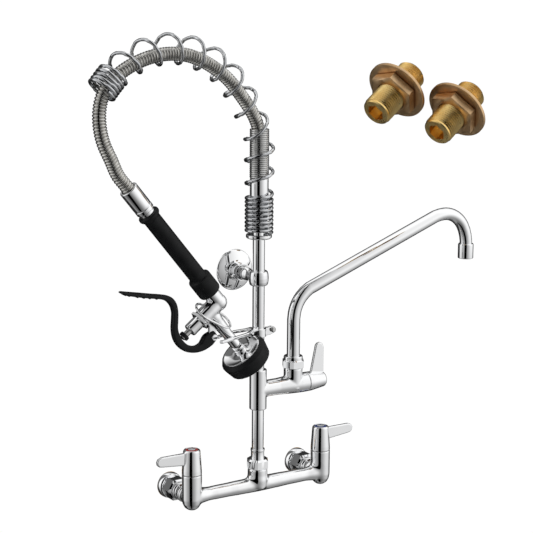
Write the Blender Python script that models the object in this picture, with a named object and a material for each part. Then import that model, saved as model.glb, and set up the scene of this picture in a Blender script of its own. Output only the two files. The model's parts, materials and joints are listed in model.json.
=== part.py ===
"""Wall-mounted pre rinse faucet with an add-on swing spout.

Metres, +Z up. X runs along the mixing body from the hot valve (-X) to the cold valve (+X), +Y points
into the wall and Y = 0 is the wall's face. The origin is midway between the two inlets, on the wall.
"""

import math

import bmesh
import bpy
import numpy as np
from mathutils import Matrix, Vector

MM = 0.001
GAP = 0.3 * MM  # clearance between pieces that touch

# Places that the rest of the design hangs on.
INLET_SPACING = 203.2 * MM  # the standard 8 inch centres
RISER_Y = -62 * MM  # how far the riser stands in front of the wall
SEAM_Z = 32 * MM  # where each handle meets its valve column
SPOUT_X = 55.6 * MM
ARM_Z = 132 * MM  # the add-on faucet's level arm
HOOK_Z = 209 * MM
BRACKET_Z = 283.8 * MM

# Radii that several pieces share.
COLUMN_R = 13.3 * MM
SPOUT_R = 8.8 * MM
HOSE_R = 8.75 * MM

# Overhead spring.
SPRING_WIRE_R = 2.15 * MM
SPRING_LOW_R = 16.8 * MM  # to the wire's centre, on the collar
SPRING_ARCH_R = 18 * MM
SPRING_TURN_STEPS = 11

# The arch of hose and spring lies in one upright plane that leans out from the riser by this much.
ARCH_YAW = math.radians(4.96)

# Spray valve: its barrel's tilt from the vertical, and the turn of its plane from the wall's.
GUN_TILT = math.radians(38.85)
GUN_YAW = math.radians(-2.4)
ELBOW_S = 199.8 * MM  # along the barrel, from the ferrule's top
NECK_T = 16.8 * MM  # the outlet neck's offset from the barrel, towards the lever
PIVOT_ST = (229.6 * MM, 34.2 * MM)
RING_TILT = -0.5  # how far the hold-down ring leans out of square with the spray valve's plane
HEAD_S = 271 * MM  # where the spray head's neck ends
FORK_OUT = 64.4 * MM  # from the riser to the neck
FORK_YAW = math.radians(20.7)

# Sides of round pieces.
FINE = 18
MEDIUM = 12
COARSE = 10
HELPER_PHASE = 0.13  # keeps the corners of joined and cut forms off those of the pieces they meet


def clear_scene():
    for old in list(bpy.data.objects):
        bpy.data.objects.remove(old, do_unlink=True)


def finish(name, colour, roughness, metallic):
    made = bpy.data.materials.new(name)
    made.use_nodes = True
    shader = made.node_tree.nodes["Principled BSDF"]
    shader.inputs["Base Color"].default_value = (*colour, 1)
    shader.inputs["Roughness"].default_value = roughness
    shader.inputs["Metallic"].default_value = metallic
    return made


def add_mesh(name, bm, place, look, helper=False):
    """Turns a bmesh into an object. A helper only cuts or joins, so it isn't part of the model."""
    bmesh.ops.recalc_face_normals(bm, faces=bm.faces)
    mesh = bpy.data.meshes.new(name)
    bm.to_mesh(mesh)
    bm.free()
    mesh.shade_smooth()
    mesh.set_sharp_from_angle(angle=math.radians(35))
    made = bpy.data.objects.new(name, mesh)
    made.matrix_world = place
    made.data.materials.append(look)
    bpy.context.scene.collection.objects.link(made)
    if helper:
        made.hide_render = True
        made.display_type = "WIRE"
    return made


def polygon_reach(angle, sides):
    """How far a regular polygon reaches at an angle, for 1 across from its centre to a flat."""
    step = 2 * math.pi / sides
    return 1 / math.cos(angle % step - step / 2)


def loft(name, rings, place, look, closed=False, helper=False):
    """Skins rings of points. A ring of one point is a tip, and open ends are filled."""
    bm = bmesh.new()
    made = [[bm.verts.new(p) for p in ring] for ring in rings]
    pairs = list(zip(made, made[1:]))
    if closed:
        pairs.append((made[-1], made[0]))
    for low, high in pairs:
        count = max(len(low), len(high))
        for i in range(count):
            j = (i + 1) % count
            corners = [low[i % len(low)], low[j % len(low)], high[j % len(high)], high[i % len(high)]]
            corners = list(dict.fromkeys(corners))
            if len(corners) > 2:
                bm.faces.new(corners)
    if not closed:
        for end in (made[0], made[-1]):
            if len(end) > 2:
                bm.faces.new(end)
    return add_mesh(name, bm, place, look, helper)


def turned(name, profile, place, look, sides=FINE, helper=False):
    """A turned piece. Each profile point is (radius, height), or (flat, height, 6) on a hexagon."""
    rings = []
    phase = HELPER_PHASE if helper else 0
    for radius, height, *polygon in profile:
        if radius == 0:
            rings.append([(0, 0, height)])
            continue
        ring = []
        for i in range(sides):
            angle = 2 * math.pi * i / sides + phase
            reach = radius * (polygon_reach(angle, polygon[0]) if polygon else 1)
            ring.append((reach * math.cos(angle), reach * math.sin(angle), height))
        rings.append(ring)
    hollow = profile[0][0] > 0
    return loft(name, rings, place, look, closed=hollow, helper=helper)


def rod(name, radius, start, end, look, sides=MEDIUM, helper=False):
    """A plain round bar between two points."""
    start, end = Vector(start), Vector(end)
    turn = (end - start).to_track_quat("Z", "Y").to_matrix().to_4x4()
    profile = [(0, 0), (radius, 0), (radius, (end - start).length), (0, (end - start).length)]
    return turned(name, profile, Matrix.Translation(start) @ turn, look, sides, helper)


def slab(name, outline, thickness, place, look, bevel=0.0, helper=False):
    """An outline in the local XZ plane, thickened evenly about it along Y."""
    bm = bmesh.new()
    face = bm.faces.new([bm.verts.new((x, -thickness / 2, z)) for x, z in outline])
    moved = bmesh.ops.extrude_face_region(bm, geom=[face])["geom"]
    new = [v for v in moved if isinstance(v, bmesh.types.BMVert)]
    bmesh.ops.translate(bm, verts=new, vec=(0, thickness, 0))
    if bevel:
        edges = [e for e in bm.edges if len({v.co.y for v in e.verts}) == 1]
        bmesh.ops.bevel(bm, geom=edges, offset=bevel, segments=1, affect="EDGES")
    return add_mesh(name, bm, place, look, helper)


def smooth_route(points, spacing):
    """Points a given spacing apart on a natural cubic spline through the route's points."""
    knots = np.array(points, float)
    lengths = np.linalg.norm(np.diff(knots, axis=0), axis=1)
    t = np.concatenate([[0], np.cumsum(lengths)])
    n = len(t)
    system = np.zeros((n, n))
    right = np.zeros((n, 3))
    system[0, 0] = system[-1, -1] = 1
    for i in range(1, n - 1):
        before, after = lengths[i - 1], lengths[i]
        system[i, i - 1 : i + 2] = before, 2 * (before + after), after
        slopes = (knots[i + 1] - knots[i]) / after - (knots[i] - knots[i - 1]) / before
        right[i] = 6 * slopes
    bend = np.linalg.solve(system, right)

    def at(value):
        i = min(int(np.searchsorted(t, value, side="right")) - 1, n - 2)
        h = lengths[i]
        a = (t[i + 1] - value) / h
        b = (value - t[i]) / h
        curve = (a**3 - a) * bend[i] + (b**3 - b) * bend[i + 1]
        return a * knots[i] + b * knots[i + 1] + curve * h * h / 6

    dense = np.array([at(v) for v in np.linspace(0, t[-1], 40 * n)])
    along = np.concatenate([[0], np.cumsum(np.linalg.norm(np.diff(dense, axis=0), axis=1))])
    count = max(2, round(along[-1] / spacing) + 1)
    wanted = np.linspace(0, along[-1], count)
    return [Vector([np.interp(w, along, dense[:, k]) for k in range(3)]) for w in wanted]


def thinned(path, least_turn):
    """Drops the points of a path between which it hardly turns."""
    kept = [path[0]]
    for before, here, after in zip(path, path[1:], path[2:]):
        if (here - kept[-1]).angle(after - here) > least_turn:
            kept.append(here)
    return kept + [path[-1]]


def frames_along(path):
    """A (point, side, other side) frame at each point of a path, turning as little as it can."""
    last = len(path) - 1
    tangents = [(path[min(i + 1, last)] - path[max(i - 1, 0)]).normalized() for i in range(last + 1)]
    side = tangents[0].orthogonal().normalized()
    made = []
    for point, tangent in zip(path, tangents):
        side = (side - tangent * side.dot(tangent)).normalized()
        made.append((point, side, tangent.cross(side)))
    return made


def pipe(name, path, outer, inner, look, sides=MEDIUM):
    """A bent tube of even bore, open at both ends."""
    walls = []
    for radius in (outer, inner):
        wall = []
        for point, side, other in frames_along(path):
            turns = [2 * math.pi * i / sides for i in range(sides)]
            wall.append([point + (side * math.cos(a) + other * math.sin(a)) * radius for a in turns])
        walls.append(wall)
    return loft(name, walls[0] + walls[1][::-1], Matrix(), look, closed=True)


def wire(name, path, radius, look, resolution=1, cyclic=False):
    """A round wire or cord along a path, as a curve with a bevel."""
    curve = bpy.data.curves.new(name, "CURVE")
    curve.dimensions = "3D"
    curve.twist_mode = "MINIMUM"
    curve.bevel_depth = radius
    curve.bevel_resolution = resolution
    curve.use_fill_caps = True
    curve.resolution_u = 1
    curve.render_resolution_u = 0
    spline = curve.splines.new("POLY")
    spline.points.add(len(path) - 1)
    for slot, point in zip(spline.points, path):
        slot.co = (*point, 1)
    spline.use_cyclic_u = cyclic
    made = bpy.data.objects.new(name, curve)
    curve.materials.append(look)
    bpy.context.scene.collection.objects.link(made)
    return made


def combine(target, operation, tools):
    """One Boolean with all its tools at once, kept in a collection that isn't rendered."""
    group = bpy.data.collections.new(f"{target.name}_{operation.lower()}")
    group.hide_render = True
    bpy.context.scene.collection.children.link(group)
    for tool in tools:
        bpy.context.scene.collection.objects.unlink(tool)
        group.objects.link(tool)
    step = target.modifiers.new(group.name, "BOOLEAN")
    step.operation = operation
    step.solver = "EXACT"
    step.operand_type = "COLLECTION"
    step.collection = group
    return target


def join(target, *tools):
    return combine(target, "UNION", tools)


def cut(target, *tools):
    return combine(target, "DIFFERENCE", tools)


def axes(origin, x, y, z):
    """A frame with these unit axes at an origin."""
    made = Matrix((x, y, z)).transposed().to_4x4()
    made.translation = origin
    return made


def at(x=0.0, y=0.0, z=0.0):
    return Matrix.Translation((x, y, z))


ALONG_X = Matrix(((0, 0, 1, 0), (1, 0, 0, 0), (0, 1, 0, 0), (0, 0, 0, 1)))  # local Z becomes +X
ALONG_Y = Matrix(((1, 0, 0, 0), (0, 0, 1, 0), (0, -1, 0, 0), (0, 0, 0, 1)))  # local Z becomes +Y


def arch_point(out, up):
    """A point in the arch's plane, given its distance from the riser and its height."""
    return Vector((-out * math.cos(ARCH_YAW), RISER_Y - out * math.sin(ARCH_YAW), up))


def arch_route(points):
    return [arch_point(out * MM, up * MM) for out, up in points]


# Hand-set routes in the arch's plane, in millimetres out from the riser and up.
HOSE_ROUTE = [
    (0, 417), (0, 432), (0, 447), (0.1, 462), (2.3, 481), (11, 500), (26.5, 520.5), (51.5, 547), (80.8, 566.6),
    (106, 577.2), (136, 581.8), (168, 578.8), (196, 569.6), (214.5, 559.5), (228.5, 547.5), (237.6, 532),
    (241.2, 514), (240, 494), (234, 474), (224.4, 455),
]
HOSE_IN_FERRULE = (-20, -8, 3, 11)  # along the spray valve's barrel from the ferrule's top
SPRING_ROUTE = [
    (0, 344.8), (0, 368), (0, 392), (0, 420), (0, 445), (1.2, 468), (11, 491), (27.5, 520.5), (49.5, 549),
    (76, 569.5), (108, 583.5), (142, 588.2), (177.5, 582.5), (207.5, 569.4), (225, 555.8), (238.8, 540.6),
]

GUN_TOP = arch_point(201.4 * MM, 420.1 * MM)
GUN_DOWN = Vector(
    (math.sin(GUN_TILT) * math.cos(GUN_YAW), math.sin(GUN_TILT) * math.sin(GUN_YAW), -math.cos(GUN_TILT))
)
GUN_SIDE = Vector(
    (-math.cos(GUN_TILT) * math.cos(GUN_YAW), -math.cos(GUN_TILT) * math.sin(GUN_YAW), -math.sin(GUN_TILT))
)
GUN_ACROSS = GUN_DOWN.cross(GUN_SIDE)
# Local X points to the lever, local Z down the barrel and local Y across the spray valve's plane.
GUN = axes(GUN_TOP, GUN_SIDE, GUN_ACROSS, GUN_DOWN)


def gun_point(s, t, w=0.0):
    """A point on the spray valve: s down the barrel, t towards the lever, w across."""
    return GUN @ Vector((t, w, s))


def gun_axis(s=0.0, t=0.0):
    """A frame whose Z runs down the barrel."""
    return GUN @ at(t, 0, s)


def gun_side(s, t=0.0):
    """A frame whose Z runs from the barrel towards the lever."""
    return GUN @ at(t, 0, s) @ ALONG_X


def mm_profile(points):
    """Scales a profile written in millimetres."""
    return [(radius * MM, height * MM, *polygon) for radius, height, *polygon in points]


clear_scene()
CHROME = finish("chrome", (0.83, 0.84, 0.85), 0.08, 1.0)
STEEL = finish("stainless_steel", (0.62, 0.62, 0.60), 0.28, 1.0)
BRASS = finish("brass", (0.86, 0.62, 0.22), 0.3, 1.0)
BRONZE = finish("bronze", (0.48, 0.30, 0.15), 0.4, 1.0)
RUBBER = finish("black_rubber", (0.012, 0.013, 0.015), 0.5, 0.0)
PLASTIC = finish("black_plastic", (0.014, 0.015, 0.017), 0.42, 0.0)
WHITE = finish("white_plastic", (0.8, 0.8, 0.78), 0.4, 0.0)
RED = finish("red_index", (0.45, 0.05, 0.04), 0.35, 0.0)
BLUE = finish("blue_index", (0.05, 0.12, 0.4), 0.35, 0.0)
GREY = finish("grey_index", (0.35, 0.36, 0.38), 0.35, 0.0)


# ------------------------------------------------------------------ mixing body
HALF = INLET_SPACING / 2
RISER = at(0, RISER_Y, 0)


def make_base_body():
    """The casting: two valve columns, the pipe between them, the riser's spud and two inlet arms."""
    pipe_profile = mm_profile(
        [(0, -101), (11.4, -101), (10.6, -86), (9.2, -76), (9.3, -46), (10.4, -14), (10.4, 14),
         (9.3, 46), (9.2, 76), (10.6, 86), (11.4, 101), (0, 101)]
    )
    body = turned("base_body", pipe_profile, at(0, RISER_Y, 0.7 * MM) @ ALONG_X, CHROME)
    spud = mm_profile(
        [(0, -4), (13.2, -4), (14.2, 8), (13.3, 14), (13.3, 23), (11.2, 23), (11.2, 30.5), (0, 30.5)]
    )
    join(body, turned("spud_form", spud, RISER, CHROME, helper=True))
    bores = [turned("spud_bore", mm_profile([(0, -2), (7.2, -2), (7.2, 40), (0, 40)]), RISER, CHROME,
                    MEDIUM, helper=True)]
    bores.append(rod("pipe_bore", 6.5 * MM, (-98 * MM, RISER_Y, 0), (98 * MM, RISER_Y, 0), CHROME,
                     COARSE, helper=True))
    for side, x in (("hot", -HALF), ("cold", HALF)):
        column = mm_profile(
            [(0, -17), (5.5, -16.2), (9.8, -13), (12.3, -8), (13.3, -2), (13.3, 31.85), (0, 31.85)]
        )
        arm = mm_profile(
            [(0, 5.4), (10.2, 5.4), (10.2, 15), (12, 16.2), (12, 19.8), (10.2, 21), (10.2, 27), (12.4, 28.2),
             (12.4, 33.6), (9, 33.6), (9, 43.2), (10.2, 43.2), (10.2, 45.7), (0, 45.7)]
        )
        join(
            body,
            turned(f"{side}_column_form", column, at(x, RISER_Y, 0), CHROME, helper=True),
            turned(f"{side}_arm_form", arm, at(x, RISER_Y, 0) @ ALONG_Y, CHROME, helper=True),
        )
        well = mm_profile([(0, -2.5), (9.1, -2.5), (9.1, 40), (0, 40)])
        bores.append(turned(f"{side}_well", well, at(x, RISER_Y, 0), CHROME, MEDIUM, helper=True))
        bores.append(rod(f"{side}_inlet_bore", 6.2 * MM, (x, RISER_Y + 4 * MM, 4 * MM),
                         (x, 0, 4 * MM), CHROME, COARSE, helper=True))
    cut(body, *bores)


def make_inlet(side, x):
    """Coupling nut, wall flange, nipple, washer and lock nut, from the arm back into the wall."""
    place = at(x, 0, 0) @ ALONG_Y
    nut = mm_profile(
        [(9.35, -27.8), (12.2, -27.8), (14, -26.2, 6), (14, -10.6, 6), (12.6, -9), (10.9, -9),
         (10.9, -23), (9.35, -23)]
    )
    turned(f"{side}_coupling_nut", nut, place, CHROME)
    flange = mm_profile(
        [(11.2, -8.7), (15.4, -8.7), (16.9, -7.4), (17.7, -4), (17.8, 0), (16, 0), (15.8, -3.8),
         (14.8, -6.3), (11.2, -6.6)]
    )
    turned(f"{side}_wall_flange", flange, place, CHROME)
    nipple = mm_profile(
        [(6.2, -16), (10, -16), (10.55, -15.2), (10.55, 29.2), (9.9, 30), (5.6, 30, 6), (5.6, 18, 6),
         (6.2, 17)]
    )
    turned(f"{side}_inlet_nipple", nipple, place, BRASS)
    washer = mm_profile([(10.9, 8), (22, 8), (22, 10.3), (10.9, 10.3)])
    turned(f"{side}_inlet_washer", washer, place, BRONZE)
    lock_nut = mm_profile(
        [(10.9, 10.6), (14.4, 10.6), (15.2, 11.3, 6), (15.2, 16.9, 6), (14.4, 17.6), (10.9, 17.6)]
    )
    turned(f"{side}_lock_nut", lock_nut, place, BRONZE)


def make_valve(name, seat, blade_angle, hub, index):
    """Cartridge, spindle, handle, screw and index button on a frame whose Z leaves the seam.

    The blade points along local X, turned by blade_angle about the valve's axis.
    """
    length, blade_top, blade_root, end_radius = hub
    cartridge = mm_profile(
        [(3.3, -31.5), (8.7, -31.5), (8.7, -2), (7.6, -2), (7.6, 7), (3.3, 7)]
    )
    turned(f"{name}_cartridge", cartridge, seat, BRASS, MEDIUM)
    top = length - 16.4 * MM
    spindle = [(0, -20 * MM), (3, -20 * MM), (3, top), (2.1, top), (2.1, top - 9 * MM), (0, top - 9 * MM)]
    spindle = [(r * MM if r > 1 else r, h) for r, h in spindle]
    turned(f"{name}_spindle", spindle, seat, BRASS, COARSE)
    screw = [(0, -8), (1.8, -8), (1.8, 2.4), (3.7, 2.4), (3.7, 4.6), (0, 4.6)]
    turned(f"{name}_handle_screw", mm_profile(screw), seat @ at(0, 0, top), STEEL, COARSE)
    button = [(0, 9.9), (4, 9.9), (4, 12.6), (end_radius - 3.2, 12.6), (end_radius - 3.2, 16), (0, 16)]
    turned(f"{name}_index_button", mm_profile(button), seat @ at(0, 0, top), index, MEDIUM)

    hub_form = [
        (0, GAP), (COLUMN_R, GAP), (13.1 * MM, 6 * MM), (end_radius * MM, length - 2 * MM),
        ((end_radius - 1) * MM, length - 0.5 * MM), ((end_radius - 1.6) * MM, length), (0, length),
    ]
    handle = turned(f"{name}_handle", hub_form, seat, CHROME)
    low, high = length - blade_top - blade_root, length - blade_top
    reach = 52.5 * MM
    outline = [
        (6 * MM, high), (reach - 7 * MM, high), (reach - 2 * MM, high - 2.2 * MM), (reach, high - 6 * MM),
        (reach - 0.6 * MM, high - 10 * MM), (reach - 3.6 * MM, high - 12.8 * MM),
        (reach - 8 * MM, high - 13.6 * MM), (6 * MM, low),
    ]
    turn = Matrix.Rotation(blade_angle, 4, "Z")
    join(handle, slab(f"{name}_blade_form", outline, 4.8 * MM, seat @ turn, CHROME, 0.9 * MM, helper=True))
    skirt = [(0, -1 * MM), (9.4 * MM, -1 * MM), (9.4 * MM, 9 * MM), (0, 9 * MM)]
    socket = [(0, 5 * MM), (3.3 * MM, 5 * MM), (3.3 * MM, top + GAP), (0, top + GAP)]
    screw_way = mm_profile([(0, -1), (2.3, -1), (2.3, 2.1), (4.3, 2.1), (4.3, 17), (0, 17)])
    button_seat = mm_profile([(0, 12.2), (end_radius - 2.9, 12.2), (end_radius - 2.9, 18), (0, 18)])
    cut(
        handle,
        turned(f"{name}_skirt_bore", skirt, seat, CHROME, MEDIUM, helper=True),
        turned(f"{name}_socket_bore", socket, seat, CHROME, COARSE, helper=True),
        turned(f"{name}_screw_bore", screw_way, seat @ at(0, 0, top), CHROME, COARSE, helper=True),
        turned(f"{name}_button_bore", button_seat, seat @ at(0, 0, top), CHROME, MEDIUM, helper=True),
    )


# Handle hub: length, distance of the blade from its end, width of the blade's root, end radius.
TALL_HUB = (34 * MM, 3.5 * MM, 17.5 * MM, 11.3)
SHORT_HUB = (29 * MM, 1.4 * MM, 22 * MM, 10.2)

make_base_body()
for which, inlet_x, blade, index_look in (("hot", -HALF, math.pi, RED), ("cold", HALF, 0.0, BLUE)):
    make_inlet(which, inlet_x)
    make_valve(which, at(inlet_x, RISER_Y, SEAM_Z), blade, TALL_HUB, index_look)


# ------------------------------------------------------------------ riser
def make_riser():
    nut = mm_profile(
        [(11.6, 23.4), (12.6, 23.4), (13.8, 24.5, 6), (13.8, 34.6, 6), (12.4, 37), (9.7, 37),
         (9.7, 34.9), (11.6, 34.9)]
    )
    turned("riser_union_nut", nut, RISER, CHROME)
    tail = mm_profile(
        [(8.3, 30.8), (11.3, 30.8), (11.3, 34.6), (9.3, 34.6), (9.3, 38), (9, 39), (9, 47), (9.5, 48),
         (9.5, 50.5), (8.3, 50.5)]
    )
    turned("riser_tailpiece", tail, RISER, CHROME)
    lower = mm_profile([(6.6, 34), (8, 34), (8, 124), (6.6, 124)])
    turned("lower_riser", lower, RISER, CHROME)
    upper = mm_profile([(6.6, 142), (8, 142), (8, 388), (6.6, 388)])
    turned("upper_riser", upper, RISER, CHROME)


def make_add_on():
    """Add-on faucet body: a sleeve on the riser, the level arm and the boss of the swing spout."""
    sleeve = mm_profile(
        [(0, 105.6), (11, 105.6), (11.5, 106.2), (11.5, 159.6), (11, 160.2), (0, 160.2)]
    )
    body = turned("add_on_body", sleeve, RISER, CHROME)
    arm = mm_profile(
        [(0, 1.3), (11.2, 1.3), (11.2, 30), (12.6, 50), (13.2, 64), (13.3, 76.1), (0, 76.1)]
    )
    boss = mm_profile(
        [(0, -4.7), (12.7, -4.7), (12.7, 22.6), (11.4, 22.6), (11.4, 31), (0, 31)]
    )
    arm_place = at(0, RISER_Y, ARM_Z) @ ALONG_X
    spout_place = at(SPOUT_X, RISER_Y, ARM_Z)
    join(
        body,
        turned("arm_form", arm, arm_place, CHROME, helper=True),
        turned("boss_form", boss, spout_place, CHROME, helper=True),
    )
    cut(
        body,
        turned("lower_socket", mm_profile([(0, 100), (8.35, 100), (8.35, 124.3), (0, 124.3)]), RISER, CHROME,
               helper=True),
        turned("upper_socket", mm_profile([(0, 141.7), (8.35, 141.7), (8.35, 170), (0, 170)]), RISER,
               CHROME, helper=True),
        turned("riser_way", mm_profile([(0, 120), (6, 120), (6, 146), (0, 146)]), RISER, CHROME, COARSE,
               helper=True),
        turned("boss_bore", mm_profile([(0, 4), (5, 4), (5, 13), (9.15, 13), (9.15, 40), (0, 40)]),
               spout_place, CHROME, helper=True),
        turned("arm_bore", mm_profile([(0, 0.6), (5.5, 0.6), (5.5, 56), (0, 56)]), arm_place, CHROME, COARSE,
               helper=True),
        turned("arm_well", mm_profile([(0, 43.6), (9.1, 43.6), (9.1, 90), (0, 90)]), arm_place, CHROME, MEDIUM,
               helper=True),
    )
    nut = mm_profile(
        [(11.75, 155), (12.6, 155), (13.9, 156.2, 6), (13.9, 165, 6), (12.9, 166.4), (12.9, 170.2),
         (12.1, 171.4), (9.2, 171.4), (9.2, 163.4), (11.75, 163.4)]
    )
    turned("spout_nut", nut, at(SPOUT_X, RISER_Y, 0), CHROME)


def make_bracket():
    """Wall bracket: a barrel-shaped clamp on the riser, a telescopic arm and a round wall flange."""
    ring = mm_profile(
        [(0, -9.8), (10.6, -9.8), (12, -8.6), (12.9, -5), (13.2, 0), (12.9, 5), (12, 8.6), (10.6, 9.8),
         (0, 9.8)]
    )
    clamp = turned("bracket_clamp", ring, at(0, RISER_Y, BRACKET_Z), CHROME)
    stub = mm_profile(
        [(0, 6), (8.6, 6), (8.2, 14), (6.6, 20), (6.8, 23), (8.4, 27), (8.8, 28), (8.8, 30), (7.9, 30),
         (7.9, 46), (0, 46)]
    )
    join(clamp, turned("bracket_stub_form", stub, at(0, RISER_Y, BRACKET_Z) @ ALONG_Y, CHROME, helper=True))
    cut(clamp, rod("bracket_riser_bore", 8.35 * MM, (0, RISER_Y, BRACKET_Z - 12 * MM),
                   (0, RISER_Y, BRACKET_Z + 12 * MM), CHROME, FINE, helper=True))
    place = at(0, 0, BRACKET_Z) @ ALONG_Y
    tube = mm_profile([(8.3, -31.6), (9.8, -31.6), (9.8, -10), (8.3, -10)])
    turned("bracket_arm_tube", tube, place, CHROME)
    flange = mm_profile(
        [(0, -4), (10.1, -4), (10.1, -24), (11.8, -24), (11.8, -6.6), (14, -5), (24, -3.4), (27.4, -1.6),
         (28, 0), (0, 0)]
    )
    flange = turned("bracket_flange", flange, place, CHROME)
    screw_way = (Vector((-1, 0, -0.45))).normalized()
    middle = Vector((0, -17 * MM, BRACKET_Z))
    cut(flange, rod("set_screw_bore", 2.2 * MM, middle + screw_way * 5 * MM, middle + screw_way * 16 * MM,
                    CHROME, COARSE, helper=True))
    turn = screw_way.to_track_quat("Z", "Y").to_matrix().to_4x4()
    screw = mm_profile([(0, 0), (1.9, 0), (1.9, 2), (3.2, 2.1), (3.2, 3.4), (1.8, 5), (0, 5.3)])
    turned("bracket_set_screw", screw, Matrix.Translation(middle + screw_way * 10.1 * MM) @ turn, CHROME,
           COARSE)


def make_hook():
    """Spray hook: a split band on the riser with two prongs that the outlet neck lies between."""
    band = mm_profile([(8.3, -4), (10.4, -4), (10.4, 7), (8.3, 7)])
    hook = turned("spray_hook", band, at(0, RISER_Y, HOOK_Z), CHROME)
    toward = Matrix.Rotation(math.pi + FORK_YAW, 4, "Z")
    lie_flat = Matrix.Rotation(math.pi / 2, 4, "X")
    place = at(0, RISER_Y, HOOK_Z + 7.6 * MM) @ toward @ lie_flat

    def prong(inner, outer, far):
        return [
            (8.9 * MM, 2.4 * MM), (18 * MM, 2 * MM), (38 * MM, inner), (far, inner),
            (far + 2.2 * MM, inner - 1.6 * MM), (far + 4.4 * MM, inner - 0.4 * MM), (far + 3.6 * MM, outer),
            (far - 2 * MM, outer + 0.4 * MM), (36 * MM, outer), (20 * MM, 7 * MM), (8.9 * MM, 6.6 * MM),
        ]

    back = prong(8.4 * MM, 12 * MM, FORK_OUT + 6 * MM)
    front = [(x, -z) for x, z in reversed(prong(9 * MM, 12.6 * MM, FORK_OUT + 24 * MM))]
    bridge = [
        (8.6 * MM, -5 * MM), (17.3 * MM, -4 * MM), (17.3 * MM, 4 * MM), (8.6 * MM, 5 * MM),
    ]
    helpers = [
        slab("hook_back_form", back, 4 * MM, place, CHROME, 0.6 * MM, helper=True),
        slab("hook_front_form", front, 4 * MM, place, CHROME, 0.6 * MM, helper=True),
        slab("hook_bridge_form", bridge, 3.4 * MM, place, CHROME, helper=True),
    ]
    for sign, word in ((1, "wall"), (-1, "user")):
        ear = [
            (9.2 * MM, -3.6 * MM), (16 * MM, -3.4 * MM), (23 * MM, -1 * MM), (24.6 * MM, 1.6 * MM),
            (24.6 * MM, 5.4 * MM), (22.6 * MM, 7.4 * MM), (9.2 * MM, 6.6 * MM),
        ]
        ear_place = at(0, RISER_Y + sign * 2.9 * MM, HOOK_Z)
        helpers.append(slab(f"hook_{word}_ear_form", ear, 1.8 * MM, ear_place, CHROME, helper=True))
    join(hook, *helpers)
    slit = [(7 * MM, -8 * MM), (11 * MM, -8 * MM), (11 * MM, 9 * MM), (7 * MM, 9 * MM)]
    screw_x, screw_z = 20 * MM, HOOK_Z + 3.4 * MM
    cut(
        hook,
        slab("hook_slit", slit, 3.4 * MM, at(0, RISER_Y, HOOK_Z), CHROME, helper=True),
        rod("hook_screw_bore", 2.3 * MM, (screw_x, RISER_Y - 8 * MM, screw_z),
            (screw_x, RISER_Y + 8 * MM, screw_z), CHROME, COARSE, helper=True),
        rod("hook_riser_bore", 8.3 * MM, (0, RISER_Y, HOOK_Z - 9 * MM), (0, RISER_Y, HOOK_Z + 12 * MM),
            CHROME, FINE, helper=True),
    )
    screw = mm_profile(
        [(0, -7.6), (2.4, -7.6), (3.6, -6.4), (3.6, -4.2), (2, -4.2), (2, 6.4), (0, 6.4)]
    )
    turned("hook_clamp_screw", screw, at(screw_x, RISER_Y, screw_z) @ ALONG_Y, STEEL, COARSE)


make_riser()
make_add_on()
ADD_ON_SEAM = 76.3  # millimetres out along the arm
ADD_ON_SEAT = at(0, RISER_Y, ARM_Z) @ ALONG_X @ at(0, 0, ADD_ON_SEAM * MM)
make_valve("add_on", ADD_ON_SEAT, math.pi / 2, SHORT_HUB, GREY)
make_bracket()
make_hook()


# ------------------------------------------------------------------ swing spout
def make_spout():
    """The swing spout turns about the upright line at (SPOUT_X, RISER_Y)."""
    route = [
        (0, 145.4), (0, 160), (0, 195), (0, 220), (2.2, 234), (8.6, 247), (18.6, 257), (30.5, 263.8),
        (45, 269.4), (118, 296.6), (200, 327.3), (224, 336.3), (240, 341), (257, 341.6), (271.5, 336),
        (282.5, 325.4), (288.4, 313.4), (290.9, 303), (291.4, 297), (291.4, 292.5),
    ]
    points = [Vector((SPOUT_X + x * MM, RISER_Y, z * MM)) for x, z in route]
    route = thinned(smooth_route(points, 4 * MM), math.radians(5))
    pipe("spout_tube", route, SPOUT_R, 7.4 * MM, CHROME)
    tip_x = SPOUT_X + 291.4 * MM
    shell = mm_profile(
        [(9.1, 296.3), (10.2, 296.3), (11, 294.8), (11, 275.6), (10.4, 275), (8.8, 275), (8.8, 291.4), (9.1, 291.8)]
    )
    turned("aerator_shell", shell, at(tip_x, RISER_Y, 0), CHROME)
    screen = mm_profile([(0, 277.5), (8.5, 277.5), (8.5, 291), (7, 291), (7, 280), (0, 280)])
    turned("aerator_screen", screen, at(tip_x, RISER_Y, 0), WHITE, MEDIUM)


make_spout()


# ------------------------------------------------------------------ overhead spring and hose
def spring_radius(share):
    """The coil opens from the collar to the arch over the first part of its length."""
    return SPRING_LOW_R + (SPRING_ARCH_R - SPRING_LOW_R) * min(1, max(0, (share - 0.1) / 0.12))


def make_overhead_spring():
    """A coil with close turns on the collar, open turns over the arch and close turns at its end."""
    path = smooth_route(arch_route(SPRING_ROUTE), 1 * MM)
    frames = frames_along(path)
    steps = [0.0]
    for here, there in zip(path, path[1:]):
        steps.append(steps[-1] + (there - here).length)
    total = steps[-1]
    open_end, last_start = total - 38 * MM, total - 22 * MM

    def pitch(s):
        knots = [0, 46 * MM, 54 * MM, 118 * MM, 136 * MM, 165 * MM, 190 * MM, open_end, last_start, total]
        values = [5.35, 5.35, 29.2, 31, 37.5, 37.5, 34, 33.8, 4.75, 4.75]
        return float(np.interp(s, knots, values)) * MM

    coil = []
    s, turn = 0.0, 0.0
    start_angle = math.radians(-100)
    while s < total - 0.5 * MM:
        i = min(int(s / total * (len(path) - 1)), len(path) - 1)
        centre, side, other = frames[i]
        angle = start_angle + turn * 2 * math.pi
        reach = spring_radius(s / total)
        coil.append(centre + (side * math.cos(angle) + other * math.sin(angle)) * reach)
        turn += 1 / SPRING_TURN_STEPS
        s += pitch(s) / SPRING_TURN_STEPS
    wire("overhead_spring", coil, SPRING_WIRE_R, STEEL)


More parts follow.
